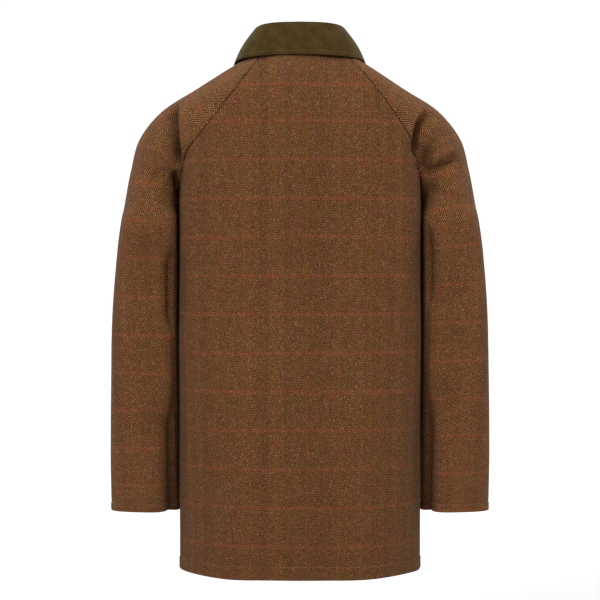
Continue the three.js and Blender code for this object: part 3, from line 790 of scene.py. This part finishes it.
def wall(name, sheet, thick, rounded):
    """The closed cloth under a sheet. rounded says how far its top, last, bottom and first edges swell."""
    rows, columns = sheet.points.shape[:2]
    inside = np.broadcast_to(np.asarray(sheet.inside, float), (rows, columns))[..., None]
    outer = sheet.points
    inner = outer - sheet.normals * (thick + inside)
    at = np.arange(rows * columns).reshape(rows, columns)
    rim = np.concatenate([at[0, :-1], at[:-1, -1], at[-1, :0:-1], at[:0:-1, 0]])
    top, last, bottom, first = rounded
    outwards = np.zeros_like(outer)
    outwards[0] += top * unit(outer[0] - outer[1])
    outwards[:, -1] += last * unit(outer[:, -1] - outer[:, -2])
    outwards[-1] += bottom * unit(outer[-1] - outer[-2])
    outwards[:, 0] += first * unit(outer[:, 0] - outer[:, 1])
    middle = ((outer + inner) / 2 + outwards).reshape(-1, 3)[rim]
    points = np.concatenate([outer.reshape(-1, 3), inner.reshape(-1, 3), middle])
    flat = sheet.flat.reshape(-1, 2)
    quads = np.stack([at[:-1, :-1], at[1:, :-1], at[1:, 1:], at[:-1, 1:]], axis=-1).reshape(-1, 4)
    count = rows * columns
    ring = 2 * count + np.arange(len(rim))
    following = np.roll(np.arange(len(rim)), -1)
    outer_rim = np.stack([rim, rim[following], ring[following], ring], axis=-1)
    inner_rim = np.stack([ring, ring[following], rim[following] + count, rim + count], axis=-1)
    faces = np.concatenate([quads, quads[:, ::-1] + count, outer_rim, inner_rim])
    if sheet.sense < 0:
        faces = faces[:, ::-1]
    both = [(SEAM_AWAY, sheet.seam_away.ravel()), (PAINTED_LIGHT_AND_TONE, sheet.tone.ravel())]
    marks = [(mark, np.concatenate([values, values, values[rim]])) for mark, values in both]
    return mesh_object(name, points, faces, np.concatenate([flat, flat, flat[rim]]), marks)


# Shaders


class Socket:
    """A shader socket, to which Python's operators add Math nodes."""

    def __init__(self, shader, socket):
        self.shader = shader
        self.socket = socket

    def math(self, operation, *others):
        return self.shader.node("Math", {"operation": operation}, dict(enumerate((self, *others))))

    def __add__(self, other):
        return self.math("ADD", other)

    def __sub__(self, other):
        return self.math("SUBTRACT", other)

    def __mul__(self, other):
        return self.math("MULTIPLY", other)

    def __rsub__(self, other):
        return self.shader.node("Math", {"operation": "SUBTRACT"}, {0: other, 1: self})

    __radd__ = __add__
    __rmul__ = __mul__


class Shader:
    """A material or a world whose nodes are added by expressions."""

    def __init__(self, owner):
        self.owner = owner
        owner.use_nodes = True
        self.tree = owner.node_tree
        self.tree.nodes.clear()

    def node(self, kind, settings, inputs, output=0):
        """Adds a node: its settings come first, then the values or links of its sockets."""
        made = self.tree.nodes.new("ShaderNode" + kind)
        for name, value in settings.items():
            if name == "stops":
                self.set_stops(made.color_ramp, value)
            elif name == "interpolation":
                made.color_ramp.interpolation = value
            else:
                setattr(made, name, value)
        for name, value in inputs.items():
            socket = made.inputs[name]
            if isinstance(value, Socket):
                self.tree.links.new(value.socket, socket)
            else:
                socket.default_value = value
        return None if output is None else Socket(self, made.outputs[output])

    def set_stops(self, ramp, stops):
        """Gives a ramp its stops, each a place and a colour."""
        while len(ramp.elements) < len(stops):
            ramp.elements.new(1)
        for element, (place, colour) in zip(ramp.elements, stops):
            element.position = place
            element.color = (*colour, 1)

    def split(self, vector):
        """The three coordinates of a vector."""
        return [self.node("SeparateXYZ", {}, {"Vector": vector}, axis) for axis in "XYZ"]

    def attribute(self, name):
        """A number that the mesh gives for each point."""
        return self.node("Attribute", {"attribute_name": name}, {}, "Fac")

    def noise(self, place, scale, **others):
        """Soft patches, which are smaller the larger the scale."""
        return self.node("TexNoise", {}, {"Vector": place, "Scale": scale, **others})

    def chance(self, number):
        """A number of its own, from 0 to 1, for each whole number."""
        return self.node("TexWhiteNoise", {"noise_dimensions": "1D"}, {"W": number})

    def ramp(self, share, stops, interpolation="LINEAR"):
        """The colour at a share of the way through a row of stops."""
        return self.node("ValToRGB", {"stops": stops, "interpolation": interpolation}, {"Fac": share})

    def blend(self, share, first, second, way="MIX"):
        """Two colours mixed by a share. A tuple of three numbers is a colour."""
        colours = [(*c, 1) if isinstance(c, tuple) else c for c in (first, second)]
        settings = {"data_type": "RGBA", "blend_type": way}
        return self.node("Mix", settings, {0: share, 6: colours[0], 7: colours[1]}, 2)

    def finish(self, colour, bump=None, **constants):
        """Closes the material with one Principled shader."""
        inputs = {name.replace("_", " "): value for name, value in constants.items()}
        inputs["Base Color"] = colour
        if bump is not None:
            inputs["Normal"] = bump
        surface = self.node("BsdfPrincipled", {}, inputs)
        self.node("OutputMaterial", {}, {"Surface": surface}, None)
        return self.owner


# Yarn colours, and how much of each yarn they take up
WARP_YARN = (
    (0.0, (0.1488, 0.067, 0.0242)),
    (0.30, (0.1674, 0.08, 0.0316)),
    (0.50, (0.1358, 0.0456, 0.0149)),
    (0.68, (0.1153, 0.0577, 0.0167)),
    (0.82, (0.0967, 0.0353, 0.0112)),
    (0.93, (0.235, 0.128, 0.062)),
)
WEFT_YARN = (
    (0.0, (0.013, 0.0047, 0.0019)),
    (0.45, (0.0084, 0.0037, 0.0009)),
    (0.62, (0.0316, 0.0093, 0.0037)),
    (0.80, (0.014, 0.0074, 0.0019)),
    (0.94, (0.0465, 0.0205, 0.0074)),
)
RED_YARN = (0.130, 0.016, 0.008)
OCHRE_YARN = (0.180, 0.076, 0.012)
RED_SHARE = 0.72  # of each overcheck thread's own colour, the rest being the ground's
OCHRE_SHARE = 0.55
FLECK = 2.4  # threads along a yarn before its colour changes
WARP_SEED, WEFT_SEED = 3.7, 8.1
PATCHES = 90  # how fine the cloth's light and dark patches are
UNEVEN_YARN = 0.34  # and how much they differ
DYE_PATCHES = 55  # how fine its patches of another tint are
OLIVE_TINT = (0.90, 0.97, 0.84)
RUST_TINT = (1.0, 0.88, 1.0)
UNEVEN_STRIPE = 0.14  # how much the herringbone's stripes differ
SEAM_PAINTED_SHADE = 0.3  # of the cloth's colour is left in the painted shade of a seam
WEAVE_RELIEF = 0.35
WEFT_SUNK = 0.8  # the weft's height where the warp's is 1
WOOL = {
    "Specular_IOR_Level": 0.06,
    "Sheen_Weight": 0.04,
    "Sheen_Roughness": 0.5,
    "Sheen_Tint": (1, 0.7, 0.5, 1),
}

# The moleskin's colours and its nap, the buttons' horn and the sewing threads
NAP_STOPS = ((0.36, (0.0215, 0.013, 0.0024)), (0.64, (0.042, 0.0247, 0.005)))
NAP_CLOUDS = 52  # how fine its stroked patches are
NAP_HAIRS = 1400  # and its hairs
CLOUD_SHARE = 0.75  # of its colour comes from the patches, the rest from the hairs
NAP_RELIEF = 0.2
NAP = {
    "Specular_IOR_Level": 0.05,
    "Sheen_Weight": 0.09,
    "Sheen_Roughness": 0.4,
    "Sheen_Tint": (0.6, 0.5, 0.26, 1),
}
HORN_STOPS = ((0.35, (0.020, 0.009, 0.004)), (0.55, (0.060, 0.026, 0.010)), (0.75, (0.200, 0.105, 0.042)))
HORN_STREAKS = 160  # how fine they are
BROWN_THREAD = (0.060, 0.028, 0.012)
OLIVE_THREAD = (0.034, 0.021, 0.006)
THREAD_LIT = 1.5  # how much lighter the high strands of a thread are
THREAD_TWIST = 900  # how fine its strands are


def yarn(shader, thread, along, seed, colours):
    """The mottled colour of a yarn, which changes from thread to thread and along each one."""
    shift = shader.chance(thread + seed) * (5 * FLECK)
    place = ((along + shift) * (1 / FLECK)).math("FLOOR")
    spot = shader.node("CombineXYZ", {}, {"X": thread, "Y": place})
    share = shader.node("TexWhiteNoise", {"noise_dimensions": "2D"}, {"Vector": spot})
    return shader.ramp(share, colours, "CONSTANT")


def tweed():
    """Herringbone tweed of mottled yarns, with red threads across it and ochre ones down it."""
    shader = Shader(bpy.data.materials.new("tweed"))
    cloth = shader.node("UVMap", {"uv_map": CLOTH_MAP}, {})
    across, down = (place * (1 / (MM * THREAD)) for place in shader.split(cloth)[:2])
    warp, weft = across.math("FLOOR"), down.math("FLOOR")
    turn = (warp + (STRIPE + 0.5)).math("PINGPONG", STRIPE) - 0.5
    step = (weft + turn).math("FLOORED_MODULO", TWILL)
    warp_on_top = step.math("LESS_THAN", TWILL / 2 - 0.25)
    warp_colour = yarn(shader, warp, down, WARP_SEED, WARP_YARN)
    weft_colour = yarn(shader, weft, across, WEFT_SEED, WEFT_YARN)
    ochre = (warp - OCHRE_FROM).math("FLOORED_MODULO", CHECK_ACROSS).math("LESS_THAN", OCHRE_THREADS - 0.5)
    red = (weft - RED_FROM).math("FLOORED_MODULO", CHECK_DOWN)
    red = red.math("LESS_THAN", RED_THREADS - 0.5) * red.math("FLOORED_MODULO", 2).math("LESS_THAN", 0.5)
    warp_colour = shader.blend(ochre * OCHRE_SHARE, warp_colour, OCHRE_YARN)
    weft_colour = shader.blend(red * RED_SHARE, weft_colour, RED_YARN)
    colour = shader.blend(warp_on_top, weft_colour, warp_colour)
    patchy = shader.noise(cloth, PATCHES, Detail=3)
    stripe = shader.chance(((warp + 0.5) * (1 / STRIPE)).math("FLOOR"))
    # painted shade in the seams' grooves, and the panel's painted light and shade from its mesh, darken or
    # lighten the yarns' colour
    painted_seam_shade = shader.attribute(SEAM_AWAY).math("LESS_THAN", SEAM_LINE)
    shade = 1 + (patchy - 0.5) * UNEVEN_YARN + (stripe - 0.5) * UNEVEN_STRIPE
    shade = shade * shader.attribute(PAINTED_LIGHT_AND_TONE) * (1 - painted_seam_shade * (1 - SEAM_PAINTED_SHADE))
    colour = shader.blend(1.0, colour, shade, "MULTIPLY")
    dyed = shader.noise(cloth, DYE_PATCHES, Detail=2)
    tint = shader.ramp(dyed, ((0.36, OLIVE_TINT), (0.64, RUST_TINT)))
    colour = shader.blend(1.0, colour, tint, "MULTIPLY")
    within_warp = across.math("FRACT") - 0.5
    within_weft = down.math("FRACT") - 0.5
    warp_round = 1 - within_warp * within_warp * 4
    weft_round = WEFT_SUNK - within_weft * within_weft * 4
    height = weft_round + (warp_round - weft_round) * warp_on_top
    bump = shader.node("Bump", {}, {"Height": height, "Strength": 0.8, "Distance": WEAVE_RELIEF * MM})
    return shader.finish(colour, bump, Roughness=0.95, **WOOL)


def moleskin():
    """Brushed cotton with a short nap, in cloudy patches where it has been stroked."""
    shader = Shader(bpy.data.materials.new("moleskin"))
    cloth = shader.node("UVMap", {"uv_map": CLOTH_MAP}, {})
    clouds = shader.noise(cloth, NAP_CLOUDS, Detail=4, Roughness=0.6)
    nap = shader.noise(cloth, NAP_HAIRS, Detail=2)
    colour = shader.ramp(clouds * CLOUD_SHARE + nap * (1 - CLOUD_SHARE), NAP_STOPS)
    bump = shader.node("Bump", {}, {"Height": nap, "Strength": 0.5, "Distance": NAP_RELIEF * MM})
    return shader.finish(colour, bump, Roughness=0.85, **NAP)


def horn():
    """Mottled dark horn, half polished."""
    shader = Shader(bpy.data.materials.new("horn"))
    place = shader.node("TexCoord", {}, {}, "Object")
    streaks = shader.noise(place, HORN_STREAKS, Detail=5, Distortion=1.5)
    colour = shader.ramp(streaks, HORN_STOPS)
    return shader.finish(colour, Roughness=0.28 + streaks * 0.2, Specular_IOR_Level=0.5)


def thread(name, colour):
    """Twisted sewing thread."""
    shader = Shader(bpy.data.materials.new(name))
    place = shader.node("TexCoord", {}, {}, "Object")
    lit = tuple(c * THREAD_LIT for c in colour)
    twist = shader.ramp(shader.noise(place, THREAD_TWIST, Detail=2), ((0.35, colour), (0.65, lit)))
    return shader.finish(twist, Roughness=0.7, Sheen_Weight=0.2)


# Stitches


def stitch_tree():
    """Geometry nodes that lay a stitch at each step of a path, flat on the cloth that the path runs over."""
    tree = bpy.data.node_groups.new("stitches", "GeometryNodeTree")
    face = tree.interface
    face.new_socket("Path", in_out="INPUT", socket_type="NodeSocketGeometry")
    for name in ("Pitch", "Length", "Thickness", "Turn"):
        face.new_socket(name, in_out="INPUT", socket_type="NodeSocketFloat")
    face.new_socket("Thread", in_out="INPUT", socket_type="NodeSocketMaterial")
    face.new_socket("Stitches", in_out="OUTPUT", socket_type="NodeSocketGeometry")

    def add(kind, settings=None, inputs=None):
        made = tree.nodes.new(kind)
        for name, value in (settings or {}).items():
            setattr(made, name, value)
        for name, value in (inputs or {}).items():
            if isinstance(value, bpy.types.NodeSocket):
                tree.links.new(value, made.inputs[name])
            else:
                made.inputs[name].default_value = value
        return made.outputs

    given = add("NodeGroupInput")
    curve = add("GeometryNodeMeshToCurve", None, {"Mesh": given["Path"]})["Curve"]
    steps = add("GeometryNodeResampleCurve", {"mode": "LENGTH"}, {"Curve": curve, "Length": given["Pitch"]})
    along = add("GeometryNodeInputTangent")["Tangent"]
    outward = add("GeometryNodeInputNamedAttribute", {"data_type": "FLOAT_VECTOR"}, {"Name": OUTWARD})
    lying = add(
        "FunctionNodeAxesToRotation",
        {"primary_axis": "X", "secondary_axis": "Z"},
        {"Primary Axis": along, "Secondary Axis": outward["Attribute"]},
    )["Rotation"]
    angle = add("ShaderNodeCombineXYZ", None, {"Z": given["Turn"]})["Vector"]
    turn = add("FunctionNodeEulerToRotation", None, {"Euler": angle})["Rotation"]
    turned = add(
        "FunctionNodeRotateRotation", {"rotation_space": "LOCAL"}, {"Rotation": lying, "Rotate By": turn}
    )
    bead = add("GeometryNodeMeshUVSphere", None, {"Segments": 8, "Rings": 5, "Radius": 0.5})["Mesh"]
    shape = add(
        "ShaderNodeCombineXYZ", None, {"X": given["Length"], "Y": given["Thickness"], "Z": given["Thickness"]}
    )["Vector"]
    placed = add(
        "GeometryNodeInstanceOnPoints",
        None,
        {"Points": steps["Curve"], "Instance": bead, "Rotation": turned["Rotation"], "Scale": shape},
    )["Instances"]
    real = add("GeometryNodeRealizeInstances", None, {"Geometry": placed})["Geometry"]
    smooth = add("GeometryNodeSetShadeSmooth", None, {"Geometry": real})["Geometry"]
    dyed = add("GeometryNodeSetMaterial", None, {"Geometry": smooth, "Material": given["Thread"]})["Geometry"]
    add("NodeGroupOutput", None, {"Stitches": dyed})
    return tree


def stitches(name, tree, lines, material, size, turn=0.0):
    """Stitches along lines of points, each given with the normals of the cloth under it."""
    points = np.concatenate([line for line, _ in lines])
    edges = []
    start = 0
    for line, _ in lines:
        edges += [(i, i + 1) for i in range(start, start + len(line) - 1)]
        start += len(line)
    mesh = bpy.data.meshes.new(name + "_path")
    mesh.from_pydata((points * MM).tolist(), edges, [])
    outward = mesh.attributes.new(OUTWARD, "FLOAT_VECTOR", "POINT")
    outward.data.foreach_set("vector", np.concatenate([normals for _, normals in lines]).ravel())
    path = bpy.data.objects.new(name + "_path", mesh)
    bpy.context.scene.collection.objects.link(path)
    modifier = path.modifiers.new("stitches", "NODES")
    modifier.node_group = tree
    values = {"Turn": turn, "Thread": material}
    values.update(zip(("Pitch", "Length", "Thickness"), (number * MM for number in size)))
    for socket in tree.interface.items_tree:
        if socket.in_out == "INPUT" and socket.name in values:
            modifier[socket.identifier] = values[socket.name]
    evaluated = path.evaluated_get(bpy.context.evaluated_depsgraph_get())
    real = bpy.data.meshes.new_from_object(evaluated)
    real.name = name
    made = bpy.data.objects.new(name, real)
    bpy.context.scene.collection.objects.link(made)
    bpy.data.objects.remove(path)
    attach(made, "root")


def line_over(points, normals, away, distance):
    """A line through rows of points where each is so far from its row's end, with the normals there."""

    def found(source):
        rows = zip(away[:, ::-1], source[:, ::-1])
        return np.array([[np.interp(distance, far, column) for column in row.T] for far, row in rows])

    outward = unit(found(normals))
    return found(points) - outward * THREAD_SINK, outward


def line_across(sheet, height):
    """A line over a panel's outer face at a height above its last row."""
    return line_over(sheet.points.swapaxes(0, 1), sheet.normals.swapaxes(0, 1), sheet.from_bottom().T, height)


def line_down(sheet, distance):
    """A line down a panel's outer face at a distance from its last column."""
    return line_over(sheet.points, sheet.normals, sheet.from_side(True), distance)


# Buttons


def lathe(profile, sides):
    """Points and faces of a closed turned shape, whose profile of (radius, height) ends on its axis."""
    angles = np.linspace(0, 2 * np.pi, sides, endpoint=False)
    inner = profile[1:-1]
    ring = [vec(r * np.cos(angles), r * np.sin(angles), h) for r, h in inner]
    points = np.concatenate([[[0, 0, profile[0][1]]], *ring, [[0, 0, profile[-1][1]]]])

    def at(level, i):
        return 1 + level * sides + i % sides

    faces = [(0, at(0, i + 1), at(0, i)) for i in range(sides)]
    for low in range(len(inner) - 1):
        faces += [(at(low, i), at(low, i + 1), at(low + 1, i + 1), at(low + 1, i)) for i in range(sides)]
    top = len(points) - 1
    faces += [(top, at(len(inner) - 1, i), at(len(inner) - 1, i + 1)) for i in range(sides)]
    return points, faces


def arc(centre, radius, start, end):
    """Points of an arc in a profile, its angles in degrees."""
    angles = np.radians(np.linspace(start, end, ROUND_STEPS + 1))
    return [(centre[0] + radius * math.cos(a), centre[1] + radius * math.sin(a)) for a in angles]


def button_place(down):
    """The middle of a button's underside on the left front, and the way it faces."""
    above, below = (on_body(np.pi, down + step) for step in (-BUTTON_RADIUS, BUTTON_RADIUS))
    outward = -unit(np.cross(above - below, vec(1, 0, 0)))
    return on_body(np.pi, down) + outward * (LAP_LIFT + BUTTON_CLEAR), outward


def facing(points, place, outward):
    """Points made round +Z, turned to face outward and moved to their place."""
    sideways = unit(np.cross(vec(0, 0, 1), outward))
    upwards = np.cross(outward, sideways)
    return place + points @ np.array([sideways, upwards, outward])


def button_shape():
    """A four-holed button round +Z, as points and faces."""
    rim, dish = BUTTON_RADIUS, BUTTON_RADIUS - BUTTON_RIM
    sunk = BUTTON_THICK - BUTTON_DISH
    profile = [(0, 0)]
    profile += arc((rim - BUTTON_ROUND, BUTTON_ROUND), BUTTON_ROUND, -90, 0)
    profile += arc((rim - BUTTON_ROUND, BUTTON_THICK - BUTTON_ROUND), BUTTON_ROUND, 0, 90)
    profile += arc((dish, BUTTON_THICK - BUTTON_DISH), BUTTON_DISH, 90, 180)
    profile += [(BUTTON_FLAT, sunk), (0, sunk)]
    points, faces = lathe(profile, BUTTON_SIDES)
    disc = mesh_object("button_disc", points, faces)
    half = BUTTON_HOLES_APART / 2
    low, high = BUTTON_DRILL
    bit, bit_faces = lathe([(0, low), (BUTTON_HOLE, low), (BUTTON_HOLE, high), (0, high)], BUTTON_HOLE_SIDES)
    for x, y in ((-half, -half), (-half, half), (half, -half), (half, half)):
        drill = mesh_object("button_drill", bit + vec(x, y, 0), bit_faces)
        cut = disc.modifiers.new("hole", "BOOLEAN")
        cut.operation = "DIFFERENCE"
        cut.object = drill
    evaluated = disc.evaluated_get(bpy.context.evaluated_depsgraph_get())
    cut_mesh = bpy.data.meshes.new_from_object(evaluated)
    made = np.array([v.co for v in cut_mesh.vertices]) / MM
    sides = [tuple(p.vertices) for p in cut_mesh.polygons]
    for spare in [o for o in bpy.data.objects if o.name.startswith(("button_disc", "button_drill"))]:
        bpy.data.objects.remove(spare)
    return made, sides


def buttons(material, thread_material, tree):
    """Five buttons, each sewn on through its four holes."""
    points, faces = button_shape()
    sunk = BUTTON_THICK - BUTTON_DISH
    for i, down in enumerate(BUTTON_DOWN):
        place, outward = button_place(down)
        piece = mesh_object(f"horn_button_{i + 1}", facing(points, place, outward), faces)
        piece.data.materials.append(material)
        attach(piece, "root")
        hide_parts(f"button_{i + 1}")
        half = BUTTON_HOLES_APART / 2
        lines = []
        for x in (-half, half):
            ends = np.array([[x, -half, sunk], [x, 0, sunk + BUTTON_THREAD_RISE], [x, half, sunk]])
            ends = facing(ends, place, outward)
            lines.append((ends, np.tile(outward, (3, 1))))
        stitches(f"button_thread_{i + 1}", tree, lines, thread_material, BUTTON_STITCH)


def before(sheet, x, down):
    """The point of a panel's outer face at a place seen from the front, and the normal there."""
    points, normals = sheet.points.reshape(-1, 3), sheet.normals.reshape(-1, 3)
    near = np.argmin((points[:, 0] - x) ** 2 + (points[:, 2] + down) ** 2)
    (px, py, pz), (nx, ny, nz) = points[near], normals[near]
    return vec(x, py - ((x - px) * nx + (-down - pz) * nz) / ny, -down), normals[near]


def hole_outline():
    """The line of a buttonhole's stitches round its slit, across and up from the button's middle."""
    eye = np.radians(np.linspace(HOLE_EYE_OPEN, 360 - HOLE_EYE_OPEN, EYE_STEPS))
    end = np.radians(np.linspace(-90, 90, END_STEPS))
    slit = np.linspace(HOLE_FROM + HOLE_EYE, HOLE_TO, SLIT_STEPS)[1:-1]
    start = [(HOLE_FROM + HOLE_EYE * math.cos(a), HOLE_EYE * math.sin(a)) for a in eye]
    finish = [(HOLE_TO + HOLE_HALF * math.cos(a), HOLE_HALF * math.sin(a)) for a in end]
    below = [(x, -HOLE_HALF) for x in slit]
    above = [(x, HOLE_HALF) for x in slit[::-1]]
    return start + below + finish + above + start[:1]


def buttonholes(sheet, thread_material, tree):
    """Five buttonholes in the left front, each edged with close stitches across its slit."""
    lines = []
    for down in BUTTON_DOWN:
        places = [before(sheet, x, down - up) for x, up in hole_outline()]
        lines.append(tuple(np.array(kind) for kind in zip(*places)))
    stitches("buttonholes", tree, lines, thread_material, HOLE_STITCH, turn=math.pi / 2)


# The whole jacket


def add_cloth(name, node, sheet, thick, rounded, material, slot, **held):
    """One piece of cloth, in place of its solid."""
    piece = wall(name, sheet, thick, rounded)
    piece.data.materials.append(material)
    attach(piece, "root")
    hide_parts(node)


def camera():
    """Behind the jacket at half its height."""
    data = bpy.data.cameras.new("camera")
    data.sensor_width = 36
    data.lens = LENS
    made = bpy.data.objects.new("camera", data)
    made.location = (0, CAMERA_AWAY, CAMERA_HEIGHT)
    made.rotation_euler = (math.pi / 2, 0, math.pi)
    bpy.context.scene.collection.objects.link(made)
    bpy.context.scene.camera = made


def floor():
    """A plain pale floor under the jacket."""
    half = FLOOR_SIZE / 2 / MM
    level = -HEM - FLOOR_DROP / MM
    corners = vec([-half, half, half, -half], [-half, -half, half, half], level)
    made = mesh_object("floor", corners, [(0, 1, 2, 3)])
    shader = Shader(bpy.data.materials.new("floor"))
    made.data.materials.append(shader.finish((*[FLOOR_SHADE] * 3, 1), Roughness=1.0, Specular_IOR_Level=0.0))


def light():
    """A pale dome that is brightest at the horizon and overhead, and soft suns round the jacket."""
    shader = Shader(bpy.data.worlds.new("studio"))
    height = shader.split(shader.node("TexCoord", {}, {}, "Generated"))[2]
    stops = [(place, (shade, shade, shade)) for place, shade in DOME]
    glow = shader.ramp(height, stops)
    dome = shader.node("Background", {}, {"Color": glow, "Strength": DOME_POWER})
    shader.node("OutputWorld", {}, {"Surface": dome}, None)
    bpy.context.scene.world = shader.owner
    for bearing, height, power in zip(*SUNS.values()):
        sun = bpy.data.objects.new("sun", bpy.data.lights.new("sun", "SUN"))
        sun.data.energy = power
        sun.data.angle = math.radians(SUN_SPREAD)
        turn, rise = math.radians(bearing), math.radians(height)
        towards = Vector((math.sin(turn) * math.cos(rise), math.cos(turn) * math.cos(rise), math.sin(rise)))
        sun.rotation_euler = towards.to_track_quat("Z", "Y").to_euler()
        bpy.context.scene.collection.objects.link(sun)


camera()
floor()
light()
bpy.context.scene.view_settings.view_transform = "Standard"

sheets = make_sheets()
dress(sheets)
collar_stand, collar_fall = collar_sheets(sheets)
for made in (collar_stand, collar_fall):
    made.draw_in(ROLL_GAP)
for made in sheets.values():
    made.draw_in(SEAM_GAP)

tweed_cloth = tweed()
collar_cloth = moleskin()
brown_thread = thread("brown_thread", BROWN_THREAD)
olive_thread = thread("olive_thread", OLIVE_THREAD)
tree = stitch_tree()

for name, made in sheets.items():
    edges = (SEWN, FREE if name.startswith("front") else SEWN, FREE, SEWN)
    add_cloth(
        name + "_panel", name, made, TWEED, edges, tweed_cloth, "tweed",
        held="hung", rests_on=["collar_fall_cloth"] if name == "back" else ["back_panel"],
    )
add_cloth(
    "collar_stand_cloth", "collar_stand", collar_stand, COLLAR_CLOTH, (FREE, SEWN, FREE, SEWN),
    collar_cloth, "moleskin", held="stretched", rests_on=["back_panel"],
)
add_cloth(
    "collar_fall_cloth", "collar_fall", collar_fall, COLLAR_CLOTH, (FREE, FREE, FREE, SEWN),
    collar_cloth, "moleskin", held="folded", rests_on=["collar_stand_cloth"],
)

rows = [line_across(made, hem_height(name)) for name, made in sheets.items()]
hems = [row for name, row in zip(sheets, rows) if not name.startswith("sleeve")]
cuffs = [row for name, row in zip(sheets, rows) if name.startswith("sleeve")]
edges = [line_down(sheets["front_" + word], EDGE_STITCH) for word in ("left", "right")]
sewn = {
    "hem_stitches": (hems, brown_thread, "tweed"),
    "cuff_stitches": (cuffs, brown_thread, "tweed"),
    "edge_stitches": (edges, brown_thread, "tweed"),
    "collar_stitches": ([line_down(collar_fall, COLLAR_STITCH)], olive_thread, "moleskin"),
}
for name, (lines, material, slot) in sewn.items():
    stitches(name, tree, lines, material, ROW_STITCH)
buttons(horn(), brown_thread, tree)
buttonholes(sheets["front_left"], brown_thread, tree)
